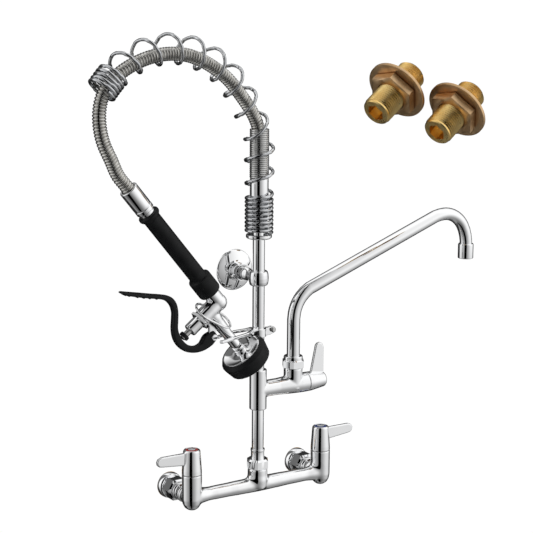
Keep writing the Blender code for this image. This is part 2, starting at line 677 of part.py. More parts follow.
def make_hose():
    ends = [gun_point(s * MM, 0) for s in HOSE_IN_FERRULE]
    route = smooth_route(arch_route(HOSE_ROUTE) + ends, 11 * MM)
    wire("spray_hose", route, HOSE_R, STEEL, resolution=3)


def make_hose_fittings():
    seat = mm_profile(
        [(8.3, 336.8), (15.6, 336.8), (17, 338.2), (17, 341.4), (16, 342.3), (8.3, 342.3)]
    )
    turned("spring_collar", seat, RISER, CHROME)
    nut = mm_profile(
        [(8.3, 372), (11.2, 372), (12.2, 373.2), (12.2, 415.2), (11.6, 416.2), (8.6, 416.2), (8.6, 388.6),
         (8.3, 388.4)]
    )
    turned("hose_nut", nut, RISER, CHROME)
    guard = mm_profile(
        [(10, 416.6), (12.7, 416.6), (12.7, 480), (11.8, 480), (10.6, 462), (10, 450)]
    )
    turned("hose_guard", guard, RISER, STEEL)


make_hose_fittings()
make_overhead_spring()
make_hose()


# ------------------------------------------------------------------ spray valve
def make_barrel():
    ferrule = mm_profile(
        [(9.3, 0), (11.4, 0), (12.2, 0.8), (12.2, 29.6), (11.6, 30.2), (11.6, 31.2), (12.2, 31.8),
         (12.2, 36.6), (11.4, 37.3), (10.8, 37.3), (10.8, 46.5), (6, 46.5), (6, 12), (9.3, 12)]
    )
    turned("hose_ferrule", ferrule, gun_axis(), CHROME)
    grip = mm_profile(
        [(11.1, 42), (13, 42), (14.3, 43.6), (14.3, 46.2), (12.8, 48.4), (11.3, 50.5), (11.3, 152),
         (11.9, 154.4), (14.9, 155.4), (15.3, 157), (15.3, 179.4), (14.4, 181.4), (11.4, 182), (11.4, 170),
         (8.6, 168), (8.6, 47.2), (11.1, 46.8)]
    )
    turned("spray_grip", grip, gun_axis(), RUBBER)


def make_valve_body():
    """Elbow, chamber, outlet neck and the lug that carries the lever's pin, as one casting."""
    elbow_s = ELBOW_S / MM
    inlet = mm_profile([(0, 46.9), (8.3, 46.9), (8.3, 171), (10.8, 171), (10.8, elbow_s - 0.4), (0, elbow_s - 0.4)])
    body = turned("spray_valve_body", inlet, gun_axis(), CHROME)
    bends = [math.radians(d) for d in range(-60, 61, 20)]
    ball = [(0, -11.7)] + [(11.7 * math.cos(a), 11.7 * math.sin(a)) for a in bends] + [(0, 11.7)]
    ball = [(r, h + elbow_s) for r, h in ball]
    chamber = mm_profile([(0, 1.7), (10.6, 1.7), (11.2, 14), (11.2, 30.4), (0, 30.4)])
    neck = mm_profile(
        [(0, elbow_s + 0.9), (9.7, elbow_s + 0.9), (9.7, elbow_s + 12), (8.4, elbow_s + 20), (7.7, elbow_s + 34),
         (7, elbow_s + 42), (7, 267), (7.8, 267.6), (7.8, 270.6), (0, 270.6)]
    )
    pivot_s, pivot_t = PIVOT_ST
    lug = [
        (22 * MM, ELBOW_S + 6.2 * MM), (29.8 * MM, ELBOW_S + 6.2 * MM), (30 * MM, ELBOW_S + 15 * MM),
        (pivot_t + 3.2 * MM, pivot_s - 4.8 * MM), (pivot_t + 4.6 * MM, pivot_s - 1 * MM),
        (pivot_t + 3.6 * MM, pivot_s + 3 * MM), (pivot_t, pivot_s + 4.6 * MM),
        (pivot_t - 4 * MM, pivot_s + 2.6 * MM), (20 * MM, ELBOW_S + 18 * MM),
    ]
    join(
        body,
        turned("elbow_ball_form", mm_profile(ball), gun_axis(), CHROME, helper=True),
        turned("chamber_form", chamber, gun_side(ELBOW_S), CHROME, helper=True),
        turned("neck_form", neck, gun_axis(0, NECK_T), CHROME, helper=True),
        slab("lug_form", lug, 4.6 * MM, GUN, CHROME, 0.4 * MM, helper=True),
    )
    pin_bore = (gun_point(pivot_s, pivot_t, -12 * MM), gun_point(pivot_s, pivot_t, 12 * MM))
    cut(
        body,
        turned("inlet_way", mm_profile([(0, 40), (6.4, 40), (6.4, elbow_s), (0, elbow_s)]), gun_axis(),
               CHROME, MEDIUM, helper=True),
        turned("chamber_way", mm_profile([(0, -3), (5.6, -3), (5.6, 3), (8.3, 3), (8.3, 36), (0, 36)]),
               gun_side(ELBOW_S), CHROME, MEDIUM, helper=True),
        turned("outlet_way", mm_profile([(0, elbow_s + 2), (4.4, elbow_s + 2), (4.4, 280), (0, 280)]),
               gun_axis(0, NECK_T), CHROME, COARSE, helper=True),
        rod("lug_pin_bore", 2.1 * MM, *pin_bore, CHROME, COARSE, helper=True),
    )


def make_valve_works():
    """Bonnet, stem with its disc and cap, and return spring, on the chamber's axis."""
    place = gun_side(ELBOW_S)
    bonnet = mm_profile(
        [(4.4, 50), (4.4, 53), (7.8, 53), (8.8, 51.8), (8.8, 36.6), (10.6, 36.2), (12, 35.2, 6), (12, 31.6, 6),
         (11, 30.7), (8, 30.7), (8, 21), (6.6, 21), (6.6, 50)]
    )
    turned("valve_bonnet", bonnet, place, CHROME)
    stem = mm_profile(
        [(0, 9.5), (5.4, 9.5), (5.4, 11.5), (3.2, 11.5), (3.2, 24), (5.8, 24), (5.8, 25.6), (4, 25.6),
         (4, 65.7), (3.4, 66.5), (0, 66.5)]
    )
    turned("valve_stem", stem, place, STEEL, MEDIUM)
    cap = mm_profile([(4.3, 60.2), (6.2, 60.2), (6.5, 60.8), (6.5, 64.2), (6, 64.8), (4.3, 64.8)])
    turned("stem_cap_ring", cap, place, PLASTIC, MEDIUM)
    coil = []
    turns, first, last, reach = 5, 16.4 * MM, 23.2 * MM, 5.1 * MM
    for i in range(turns * COARSE + 1):
        angle = 2 * math.pi * i / COARSE
        height = first + (last - first) * i / (turns * COARSE)
        coil.append(place @ Vector((reach * math.cos(angle), reach * math.sin(angle), height)))
    wire("stem_return_spring", coil, 0.5 * MM, STEEL, resolution=0)


def lever_section(point, along, thick, wide):
    """An eight-sided section across the lever, thick in its plane and wide across it."""
    normal = along.cross(GUN_ACROSS).normalized()
    corner = 0.78
    shape = [(1, corner), (corner, 1), (-corner, 1), (-1, corner), (-1, -corner), (-corner, -1),
             (corner, -1), (1, -corner)]
    return [point + normal * (a * thick / 2) + GUN_ACROSS * (b * wide / 2) for a, b in shape]


def make_lever():
    """The squeeze lever: a cranked strip from its pivot round the stem to the thumb pad."""
    stations = [  # s, t, thickness, width in millimetres
        (228.6, 29.2, 11, 10.6), (228.3, 34, 14.4, 10.8), (227.9, 41.6, 17.4, 10.8), (228.3, 48, 14.5, 10.6),
        (228, 53.5, 11.4, 10), (225.4, 60.2, 9, 9.6), (221, 65.6, 8.4, 9.4), (213.4, 70.6, 9.4, 9.4),
        (204.5, 72.7, 10, 9.6), (196.5, 72.4, 9.8, 9.6), (189, 70.2, 9, 9.6), (181.3, 65.8, 8, 9.6),
        (174, 59.3, 7.7, 9.8), (165.4, 52.2, 7.4, 10.2), (156, 48, 8.2, 10.8), (146.4, 48.2, 8, 12),
        (137, 53.6, 5.6, 14), (127, 62.2, 5, 15.6), (114, 73.4, 5, 16.4), (100.3, 84.7, 4, 15.6),
        (94.6, 88.8, 3, 12.5), (92.4, 90.4, 2, 9),
    ]
    centres = [gun_point(s * MM, t * MM) for s, t, _, _ in stations]
    rings = []
    for i, (_, _, thick, wide) in enumerate(stations):
        along = centres[min(i + 1, len(centres) - 1)] - centres[max(i - 1, 0)]
        rings.append(lever_section(centres[i], along.normalized(), thick * MM, wide * MM))
    lever = loft("squeeze_lever", rings, Matrix(), PLASTIC)
    pivot_s, pivot_t = PIVOT_ST
    ends = (gun_point(pivot_s, pivot_t, -9 * MM), gun_point(pivot_s, pivot_t, 9 * MM))
    fork = [(20 * MM, 205 * MM), (42.5 * MM, 205 * MM), (42.5 * MM, 245 * MM), (20 * MM, 245 * MM)]
    cut(
        lever,
        rod("lever_pin_bore", 2.1 * MM, *ends, PLASTIC, COARSE, helper=True),
        slab("lever_fork_slot", fork, 5.4 * MM, GUN, PLASTIC, helper=True),
    )
    pin = mm_profile(
        [(0, -7), (3.6, -7), (4.2, -6.4), (4.2, -5.75), (1.8, -5.75), (1.8, 5.75), (4.2, 5.75), (4.2, 6.4),
         (3.6, 7), (0, 7)]
    )
    pin_place = axes(gun_point(pivot_s, pivot_t), GUN_SIDE, GUN_DOWN * -1, GUN_ACROSS)
    turned("lever_pin", pin, pin_place, CHROME, COARSE)


def make_hold_down_ring():
    """A long wire link hung round the chamber; it flips over the lever to keep the water running."""
    middle = gun_point(209 * MM, 16.2 * MM)
    along = (GUN_DOWN * 0.921 - GUN_SIDE * 0.39).normalized()
    across = GUN_ACROSS * math.cos(RING_TILT) - along.cross(GUN_ACROSS) * math.sin(RING_TILT)
    half_long, half_wide = 27.6 * MM, 15.2 * MM
    path = []
    for end in (1, -1):
        for i in range(9):
            angle = math.pi * (i / 8 - 0.5)
            x = end * (half_long - half_wide + half_wide * math.cos(angle))
            y = end * half_wide * math.sin(angle)
            path.append(middle + along * x + across * y)
    wire("hold_down_ring", path, 1.5 * MM, CHROME, cyclic=True)


def make_spray_head():
    place = gun_axis(HEAD_S, NECK_T)
    bell = mm_profile(
        [(4.4, 0), (7.6, 0), (8.2, 1.2), (8.2, 4.4), (13, 5.6), (21, 5), (26, 3.2), (27.6, 3.4), (27.6, 5.8),
         (25.6, 6.6), (20.4, 7.6), (13, 8.2), (9.4, 7.6), (8.8, 17), (4.6, 17)]
    )
    turned("spray_bell", bell, place, CHROME, 24)
    face = mm_profile([(2.4, 17.4), (20, 17.4), (23.8, 15.4), (24.4, 17.6), (20.6, 20.4), (2.4, 20.4)])
    turned("spray_face", face, place, CHROME, 24)
    bumper = mm_profile(
        [(28, 3.4), (29, 3.2), (32.7, 8.8), (32.2, 14), (29.8, 25.6), (28.4, 26.6), (26.8, 26.2), (24.8, 24),
         (24.8, 7.4), (28, 6.4)]
    )
    turned("bumper_ring", bumper, place, RUBBER, 24)
    screw = mm_profile([(0, 10), (2.1, 10), (2.1, 20.8), (4.6, 20.8), (4.6, 22.2), (3.4, 23.2), (0, 23.2)])
    turned("face_screw", screw, place, STEEL, COARSE)


make_barrel()
make_valve_body()
make_valve_works()
make_lever()
make_hold_down_ring()
make_spray_head()
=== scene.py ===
"""Looks of the wall-mounted pre rinse faucet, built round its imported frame.

Metres, +Z up, in the frame's own axes: X along the mixing body from hot to cold and +Y into the wall. Every CAD node
is stood for by a finely turned, lofted or wound skin of the same size, riding on the same body.
"""

import json
import math

import bmesh
import bpy
import numpy as np
from mathutils import Matrix, Vector
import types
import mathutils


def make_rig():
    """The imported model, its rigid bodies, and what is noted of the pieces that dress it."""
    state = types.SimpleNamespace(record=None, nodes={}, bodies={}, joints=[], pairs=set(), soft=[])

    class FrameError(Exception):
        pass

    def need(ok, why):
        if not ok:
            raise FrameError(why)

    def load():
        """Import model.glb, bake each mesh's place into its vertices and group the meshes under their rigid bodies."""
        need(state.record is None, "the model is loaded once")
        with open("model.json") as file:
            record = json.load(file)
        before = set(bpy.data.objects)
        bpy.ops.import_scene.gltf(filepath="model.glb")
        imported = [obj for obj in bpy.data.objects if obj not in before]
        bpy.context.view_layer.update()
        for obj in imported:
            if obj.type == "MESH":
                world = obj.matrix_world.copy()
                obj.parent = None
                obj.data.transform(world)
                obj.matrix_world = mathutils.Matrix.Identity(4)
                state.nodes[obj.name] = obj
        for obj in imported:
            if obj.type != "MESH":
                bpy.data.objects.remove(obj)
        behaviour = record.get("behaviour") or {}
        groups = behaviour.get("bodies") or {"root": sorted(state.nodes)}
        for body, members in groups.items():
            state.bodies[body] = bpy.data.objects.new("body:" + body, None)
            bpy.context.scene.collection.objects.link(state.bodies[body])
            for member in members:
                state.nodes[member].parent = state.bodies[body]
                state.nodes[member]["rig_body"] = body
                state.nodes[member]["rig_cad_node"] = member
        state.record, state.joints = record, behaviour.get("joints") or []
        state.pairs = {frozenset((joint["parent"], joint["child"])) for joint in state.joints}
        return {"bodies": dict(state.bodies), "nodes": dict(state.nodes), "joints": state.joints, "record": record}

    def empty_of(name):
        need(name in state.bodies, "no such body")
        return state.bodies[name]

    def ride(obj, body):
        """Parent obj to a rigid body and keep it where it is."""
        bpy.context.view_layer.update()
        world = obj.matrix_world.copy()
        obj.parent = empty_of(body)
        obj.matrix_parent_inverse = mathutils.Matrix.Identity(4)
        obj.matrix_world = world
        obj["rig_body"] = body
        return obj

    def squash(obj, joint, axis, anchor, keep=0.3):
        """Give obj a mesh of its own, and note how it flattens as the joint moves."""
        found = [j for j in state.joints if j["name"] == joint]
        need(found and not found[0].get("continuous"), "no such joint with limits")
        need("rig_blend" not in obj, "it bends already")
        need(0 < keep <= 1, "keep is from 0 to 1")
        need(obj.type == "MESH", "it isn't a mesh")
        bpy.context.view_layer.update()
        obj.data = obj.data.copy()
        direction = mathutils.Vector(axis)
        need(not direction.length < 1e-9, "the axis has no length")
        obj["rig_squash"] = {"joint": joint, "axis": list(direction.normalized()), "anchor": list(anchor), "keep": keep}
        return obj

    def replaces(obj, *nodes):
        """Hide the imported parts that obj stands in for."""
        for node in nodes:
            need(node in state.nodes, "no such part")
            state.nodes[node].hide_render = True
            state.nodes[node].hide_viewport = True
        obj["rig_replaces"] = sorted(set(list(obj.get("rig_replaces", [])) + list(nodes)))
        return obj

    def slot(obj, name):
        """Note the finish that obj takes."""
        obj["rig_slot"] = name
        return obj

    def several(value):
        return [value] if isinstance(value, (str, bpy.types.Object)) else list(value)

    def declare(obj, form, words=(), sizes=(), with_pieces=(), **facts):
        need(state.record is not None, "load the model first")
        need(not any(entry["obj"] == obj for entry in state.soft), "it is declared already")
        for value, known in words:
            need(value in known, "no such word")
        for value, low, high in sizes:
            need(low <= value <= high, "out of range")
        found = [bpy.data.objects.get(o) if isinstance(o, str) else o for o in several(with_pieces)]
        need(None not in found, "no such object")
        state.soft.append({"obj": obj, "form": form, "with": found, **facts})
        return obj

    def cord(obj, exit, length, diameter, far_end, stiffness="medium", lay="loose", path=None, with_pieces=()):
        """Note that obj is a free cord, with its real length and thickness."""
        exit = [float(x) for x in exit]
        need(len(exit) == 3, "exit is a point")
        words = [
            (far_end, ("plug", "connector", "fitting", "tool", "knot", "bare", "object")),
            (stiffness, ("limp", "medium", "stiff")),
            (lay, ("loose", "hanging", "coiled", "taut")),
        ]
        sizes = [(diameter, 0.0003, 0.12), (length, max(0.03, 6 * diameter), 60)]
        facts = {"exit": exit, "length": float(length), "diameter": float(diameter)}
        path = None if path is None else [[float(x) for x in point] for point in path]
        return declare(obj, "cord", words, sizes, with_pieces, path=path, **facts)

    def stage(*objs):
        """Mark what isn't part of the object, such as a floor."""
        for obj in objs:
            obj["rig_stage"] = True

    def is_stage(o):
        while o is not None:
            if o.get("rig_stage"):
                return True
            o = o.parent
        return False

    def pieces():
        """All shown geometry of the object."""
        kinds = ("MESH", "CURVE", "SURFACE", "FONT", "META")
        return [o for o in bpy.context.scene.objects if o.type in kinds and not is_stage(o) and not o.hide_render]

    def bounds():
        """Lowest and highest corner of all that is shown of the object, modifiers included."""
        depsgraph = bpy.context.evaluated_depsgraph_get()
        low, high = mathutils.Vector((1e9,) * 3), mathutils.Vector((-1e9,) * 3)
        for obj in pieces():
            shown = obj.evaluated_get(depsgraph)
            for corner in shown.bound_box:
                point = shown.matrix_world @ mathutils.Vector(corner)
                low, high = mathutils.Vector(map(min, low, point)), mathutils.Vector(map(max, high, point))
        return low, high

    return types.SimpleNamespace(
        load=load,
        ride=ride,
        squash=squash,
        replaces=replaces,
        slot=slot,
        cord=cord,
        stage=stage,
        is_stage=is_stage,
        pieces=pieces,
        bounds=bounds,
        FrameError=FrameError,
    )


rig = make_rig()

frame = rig.load()
CAD_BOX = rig.bounds()
BODY_OF = {node: body for body, nodes in frame["record"]["behaviour"]["bodies"].items() for node in nodes}
SLOT_OF = {part["node"]: part["material_slot"] for part in frame["record"]["subparts"]}

MM = 0.001
GAP = 0.3 * MM

# ------------------------------------------------------------------ camera
# The photographer stood to the hot side, a little above the middle, looking down slightly.
CAMERA_AIM = Vector((0.0086, -0.0675, 0.299))
CAMERA_BACK = Vector((-0.5262, -0.8260, 0.2021)).normalized()
CAMERA_DISTANCE = 2.2
CAMERA_ROLL = math.radians(0.40)
CAMERA_LENS = 113.5


def make_camera():
    data = bpy.data.cameras.new("camera")
    data.lens = CAMERA_LENS
    data.sensor_width = 36
    data.clip_start, data.clip_end = 0.05, 200
    made = bpy.data.objects.new("camera", data)
    level = Vector((0, 0, 1)).cross(CAMERA_BACK).normalized()
    upright = CAMERA_BACK.cross(level)
    right = level * math.cos(CAMERA_ROLL) + upright * math.sin(CAMERA_ROLL)
    up = upright * math.cos(CAMERA_ROLL) - level * math.sin(CAMERA_ROLL)
    turn = Matrix((right, up, CAMERA_BACK)).transposed().to_4x4()
    made.matrix_world = Matrix.Translation(CAMERA_AIM + CAMERA_BACK * CAMERA_DISTANCE) @ turn
    bpy.context.scene.collection.objects.link(made)
    bpy.context.scene.camera = made


make_camera()


# ------------------------------------------------------------------ node helpers
class Nodes:
    """A small wrapper that makes and joins shader nodes."""

    def __init__(self, tree):
        self.tree = tree

    def add(self, kind, **values):
        node = self.tree.nodes.new("ShaderNode" + kind)
        for key, value in values.items():
            setattr(node, key, value)
        return node

    def feed(self, socket, source):
        if isinstance(source, bpy.types.NodeSocket):
            self.tree.links.new(source, socket)
        else:
            socket.default_value = source

    def math(self, operation, *sources, clamp=False):
        node = self.add("Math", operation=operation, use_clamp=clamp)
        for socket, source in zip(node.inputs, sources):
            self.feed(socket, source)
        return node.outputs[0]

    def smooth(self, value, low, high, start=0.0, end=1.0):
        """Rises smoothly from start to end as value goes from low to high."""
        node = self.add("MapRange", interpolation_type="SMOOTHSTEP")
        for socket, source in zip(node.inputs, (value, low, high, start, end)):
            self.feed(socket, source)
        return node.outputs[0]

    def beyond(self, value, start, end):
        """How far a value lies outside a band, below nought inside it."""
        from_middle = self.math("ABSOLUTE", self.math("SUBTRACT", value, (start + end) / 2))
        return self.math("SUBTRACT", from_middle, (end - start) / 2)

    def noise(self, vector, scale, detail=2.0, roughness=0.5):
        node = self.add("TexNoise")
        self.feed(node.inputs["Vector"], vector)
        self.feed(node.inputs["Scale"], scale)
        self.feed(node.inputs["Detail"], detail)
        self.feed(node.inputs["Roughness"], roughness)
        return node.outputs["Fac"]

    def mix(self, share, one, two):
        node = self.add("Mix", data_type="RGBA")
        self.feed(node.inputs[0], share)
        self.feed(node.inputs[6], one)
        self.feed(node.inputs[7], two)
        return node.outputs[2]


# ------------------------------------------------------------------ light
# The studio is a white tent with dark flags: one upright flag by the camera, one at the side and a dark gap behind
# the set, which draw the narrow dark line and the thin dark edges on every polished tube.
FLAG_FROM, FLAG_TO = math.radians(-22), math.radians(7)  # azimuths, from the camera's own
SIDE_FROM, SIDE_TO = math.radians(-137), math.radians(-103)
FLAG_EDGE = math.radians(5)
FALL_OFF = math.radians(74)
GAP_NEAR, GAP_FAR = math.radians(38), math.radians(76)
TENT_LIGHT = 1.05
ROOM_LIGHT = 1.35


def make_world():
    world = bpy.data.worlds.new("studio")
    world.use_nodes = True
    bpy.context.scene.world = world
    n = Nodes(world.node_tree)
    world.node_tree.nodes.clear()
    direction = n.add("TexCoord").outputs["Generated"]
    split = n.add("SeparateXYZ")
    n.feed(split.inputs[0], direction)
    camera_azimuth = math.atan2(CAMERA_BACK.y, CAMERA_BACK.x)
    cos_a, sin_a = math.cos(camera_azimuth), math.sin(camera_azimuth)
    x, y = split.outputs[0], split.outputs[1]
    toward = n.math("ADD", n.math("MULTIPLY", x, cos_a), n.math("MULTIPLY", y, sin_a))
    # Right of the camera, as the photographer's subject would see the picture's right side.
    aside = n.math("ADD", n.math("MULTIPLY", x, -sin_a), n.math("MULTIPLY", y, cos_a))
    azimuth = n.math("ARCTAN2", aside, toward)
    off = n.beyond(azimuth, FLAG_FROM, FLAG_TO)
    flag = n.smooth(off, 0.0, FLAG_EDGE)
    glow = n.smooth(off, 0.0, FALL_OFF, 0.34, 1.0)
    side = n.smooth(n.beyond(azimuth, SIDE_FROM, SIDE_TO), 0.0, FLAG_EDGE, 0.14, 1.0)
    away = n.add("VectorMath", operation="DOT_PRODUCT")
    n.feed(away.inputs[0], direction)
    away.inputs[1].default_value = -CAMERA_BACK
    behind = n.math("ARCCOSINE", away.outputs["Value"])
    gap = n.smooth(behind, GAP_NEAR, GAP_FAR, 0.03, 1.0)
    down = n.smooth(split.outputs[2], -0.9, 0.1, 0.25, 1.0)
    tent = 1.0
    for part in (flag, glow, side, gap, down):
        tent = n.math("MULTIPLY", tent, part)
    path = n.add("LightPath")
    seen = n.math("MAXIMUM", tent, path.outputs["Is Camera Ray"])
    strength = n.math("MULTIPLY", seen, TENT_LIGHT)
    diffuse = path.outputs["Is Diffuse Ray"]
    strength = n.math(
        "ADD", n.math("MULTIPLY", strength, n.math("SUBTRACT", 1.0, diffuse)), n.math("MULTIPLY", diffuse, ROOM_LIGHT)
    )
    back = n.add("Background")
    back.inputs["Color"].default_value = (1, 1, 1, 1)
    n.feed(back.inputs["Strength"], strength)
    out = n.add("OutputWorld")
    n.feed(out.inputs["Surface"], back.outputs[0])


def make_card(name, corners):
    """A flat backdrop that takes no part in reflections or in the light on the faucet."""
    mesh = bpy.data.meshes.new(name)
    mesh.from_pydata(corners, [], [(0, 1, 2, 3)])
    card = bpy.data.objects.new(name, mesh)
    look = bpy.data.materials.new("white_" + name)
    look.use_nodes = True
    mesh.materials.append(look)
    bpy.context.scene.collection.objects.link(card)
    card.visible_glossy = card.visible_diffuse = False
    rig.stage(card)
    n = Nodes(look.node_tree)
    return card, n, n.add("TexCoord").outputs["Object"]


FLOOR_Z = -0.4
WALL_Y = 0.4 * MM


def make_floor():
    """A pale floor well under the faucet."""
    size = 60.0
    around = ((-size, -size), (size, -size), (size, size), (-size, size))
    floor, n, place = make_card("floor", [(x, y, FLOOR_Z) for x, y in around])
    shader = n.tree.nodes["Principled BSDF"]
    shader.inputs["Roughness"].default_value = 0.9
    n.feed(shader.inputs["Base Color"], n.mix(n.noise(place, 3.0), (0.93, 0.93, 0.93, 1), (0.95, 0.95, 0.95, 1)))


def make_wall():
    """The white wall that the faucet is fixed to, seen from in front only: it hides what is inside the wall."""
    reach = 6.0
    around = ((-reach, FLOOR_Z), (reach, FLOOR_Z), (reach, reach), (-reach, reach))
    wall, n, place = make_card("wall", [(x, WALL_Y, z) for x, z in around])
    wall.visible_shadow = wall.visible_transmission = False
    n.tree.nodes.clear()
    place = n.add("TexCoord").outputs["Object"]
    mix, paint = n.add("MixShader"), n.add("Emission")
    n.feed(paint.inputs["Color"], n.mix(n.noise(place, 2.0), (1.0, 1.0, 1.0, 1), (0.995, 0.995, 0.995, 1)))
    paint.inputs["Strength"].default_value = 1.02
    n.feed(mix.inputs[0], n.add("NewGeometry").outputs["Backfacing"])
    n.feed(mix.inputs[1], paint.outputs[0])
    n.feed(mix.inputs[2], n.add("BsdfTransparent").outputs[0])
    n.feed(n.add("OutputMaterial").inputs["Surface"], mix.outputs[0])


make_world()
make_floor()
make_wall()
bpy.context.scene.view_settings.view_transform = "Standard"


# ------------------------------------------------------------------ materials
def new_look(name, light, dark, rough, metallic, scales, grain, specular=None):
    """A look whose colour and polish are a little clouded, with a grain of (scale, depth, detail, strength)."""
    look = bpy.data.materials.new(name)
    look.use_nodes = True
    shader = look.node_tree.nodes["Principled BSDF"]
    shader.inputs["Metallic"].default_value = metallic
    shader.inputs["Roughness"].default_value = rough[0]
    shader.inputs["Base Color"].default_value = (*light, 1)
    if specular is not None:
        shader.inputs["Specular IOR Level"].default_value = specular
    n = Nodes(look.node_tree)
    place = n.add("TexCoord").outputs["Object"]
    colour_scale, rough_scale, low, high = scales
    cloud = n.smooth(n.noise(place, colour_scale, 3.0), low, 0.7)
    n.feed(shader.inputs["Base Color"], n.mix(cloud, (*light, 1), (*dark, 1)))
    n.feed(shader.inputs["Roughness"], n.smooth(n.noise(place, rough_scale, 2.0), 0.3, high, *rough))
    scale, depth, detail, strength = grain
    if scale:
        bump = n.add("Bump")
        n.feed(bump.inputs["Height"], n.noise(place, scale, detail))
        bump.inputs["Strength"].default_value = strength
        bump.inputs["Distance"].default_value = depth
        n.feed(shader.inputs["Normal"], bump.outputs[0])
    return look


def metal(name, light, dark, rough, scale, grain_scale=0.0, grain_depth=0.0):
    """A metal. Castings have a faint waviness."""
    grain = (grain_scale, grain_depth, 1.0, 0.4)
    return new_look(name, light, dark, rough, 1.0, (scale, scale * 2.3, 0.35, 0.75), grain)


def moulded(name, light, dark, rough, grain_scale, grain_depth, specular):
    """Rubber or plastic with a fine moulded grain."""
    grain = (grain_scale, grain_depth, 2.0, 0.5)
    return new_look(name, light, dark, rough, 0.0, (90.0, 160.0, 0.3, 0.7), grain, specular)


CHROME = metal("chrome", (0.965, 0.97, 0.975), (0.94, 0.945, 0.955), (0.02, 0.045), 25.0)
CAST_CHROME = metal("cast_chrome", (0.965, 0.97, 0.975), (0.935, 0.94, 0.95), (0.025, 0.06), 30.0, 60.0, 0.0001)
STEEL = metal("stainless_steel", (0.66, 0.66, 0.65), (0.55, 0.55, 0.54), (0.16, 0.3), 120.0)
SPRING_WIRE = metal("spring_wire", (0.66, 0.67, 0.685), (0.54, 0.55, 0.565), (0.04, 0.1), 140.0)
HOSE_STEEL = metal("hose_strip", (0.66, 0.65, 0.62), (0.50, 0.49, 0.465), (0.06, 0.14), 130.0)
BRASS = metal("brass", (1.0, 0.74, 0.31), (1.0, 0.68, 0.24), (0.26, 0.44), 90.0, 700.0, 0.00003)
BRONZE = metal("bronze", (0.80, 0.55, 0.31), (0.67, 0.44, 0.23), (0.34, 0.5), 110.0, 600.0, 0.00004)
RUBBER = moulded("black_rubber", (0.0028, 0.0032, 0.0036), (0.0045, 0.005, 0.0055), (0.38, 0.5), 900.0, 0.00004, 0.2)
PLASTIC = moulded(
    "black_plastic", (0.0025, 0.003, 0.0034), (0.004, 0.0045, 0.005), (0.28, 0.4), 1200.0, 0.00002, 0.22
)
WHITE = moulded("white_plastic", (0.80, 0.80, 0.78), (0.74, 0.74, 0.72), (0.3, 0.42), 700.0, 0.00002, 0.5)
RED = moulded("red_index", (0.33, 0.035, 0.03), (0.27, 0.025, 0.02), (0.25, 0.35), 700.0, 0.00001, 0.5)
BLUE = moulded("blue_index", (0.035, 0.06, 0.22), (0.025, 0.045, 0.17), (0.25, 0.35), 700.0, 0.00001, 0.5)
GREY = moulded("grey_index", (0.30, 0.31, 0.33), (0.25, 0.26, 0.28), (0.25, 0.35), 700.0, 0.00001, 0.5)
BUTTON_GREY = moulded("button_grey", (0.42, 0.43, 0.44), (0.36, 0.37, 0.38), (0.2, 0.3), 700.0, 0.00001, 0.5)


# Places and radii that the pieces share.
INLET_SPACING = 203.2 * MM
RISER_Y = -62 * MM
SEAM_Z = 32 * MM
SPOUT_X = 55.6 * MM
ARM_Z = 132 * MM
HOOK_Z = 209 * MM
BRACKET_Z = 283.8 * MM
COLUMN_R = 13.3 * MM
SPOUT_R = 8.8 * MM
HOSE_R = 8.75 * MM
SPRING_WIRE_R = 2.15 * MM
SPRING_LOW_R = 16.8 * MM
SPRING_ARCH_R = 18 * MM
SPRING_TURN_STEPS = 44
ARCH_YAW = math.radians(4.96)
GUN_TILT = math.radians(38.85)
GUN_YAW = math.radians(-2.4)
ELBOW_S = 199.8 * MM
NECK_T = 16.8 * MM
PIVOT_ST = (229.6 * MM, 34.2 * MM)
RING_TILT = -0.5
HEAD_S = 271 * MM
FORK_OUT = 64.4 * MM
FORK_YAW = math.radians(20.7)


# ------------------------------------------------------------------ making pieces
SKINS = {}  # node name: its skin
HELPERS = []
FINE = 72
COARSE = 48
HELPER_PHASE = 0.013
CREASE = math.radians(32)  # a sharper turn than this keeps its edge
EASE = 0.35 * MM  # how far back from a turned corner its rounding starts


def add_mesh(name, bm, place, look):
    bmesh.ops.recalc_face_normals(bm, faces=bm.faces)
    mesh = bpy.data.meshes.new(name)
    bm.to_mesh(mesh)
    bm.free()
    return add_object(name, mesh, place, look)


def add_object(name, data, place, look):
    """A node's skin with its look or, with none, a hidden helper."""
    made = bpy.data.objects.new(name + "_skin" if look else name, data)
    made.matrix_world = place
    bpy.context.scene.collection.objects.link(made)
    if look:
        data.materials.append(look)
        SKINS[name] = made
    else:
        made.hide_render = True
        HELPERS.append(made)
    return made


def eased(profile):
    """Rounds the corners of a turned profile, as machining and polish leave them."""
    ring = profile[0][0] > 0
    made = []
    count = len(profile)
    for i, here in enumerate(profile):
        before, after = profile[i - 1], profile[(i + 1) % count]
        end = not ring and i in (0, count - 1)
        if end or here[0] == 0 or max(len(p) for p in (before, here, after)) > 2:
            made.append(here)
            continue
        p, a, b = Vector(here), Vector(before), Vector(after)
        if (a - p).length < 1e-7 or (b - p).length < 1e-7 or (p - a).angle(b - p) < math.radians(22):
            made.append(here)
            continue
        one = p + (a - p).normalized() * min(EASE, (a - p).length * 0.35)
        two = p + (b - p).normalized() * min(EASE, (b - p).length * 0.35)
        for t in (0, 0.33, 0.67, 1):
            q = one * (1 - t) ** 2 + p * 2 * t * (1 - t) + two * t**2
            made.append((q.x, q.y))
    return made


def polygon_reach(angle, sides):
    """How far a regular polygon reaches at an angle, for 1 across from its centre to a flat."""
    step = 2 * math.pi / sides
    return 1 / math.cos(angle % step - step / 2)


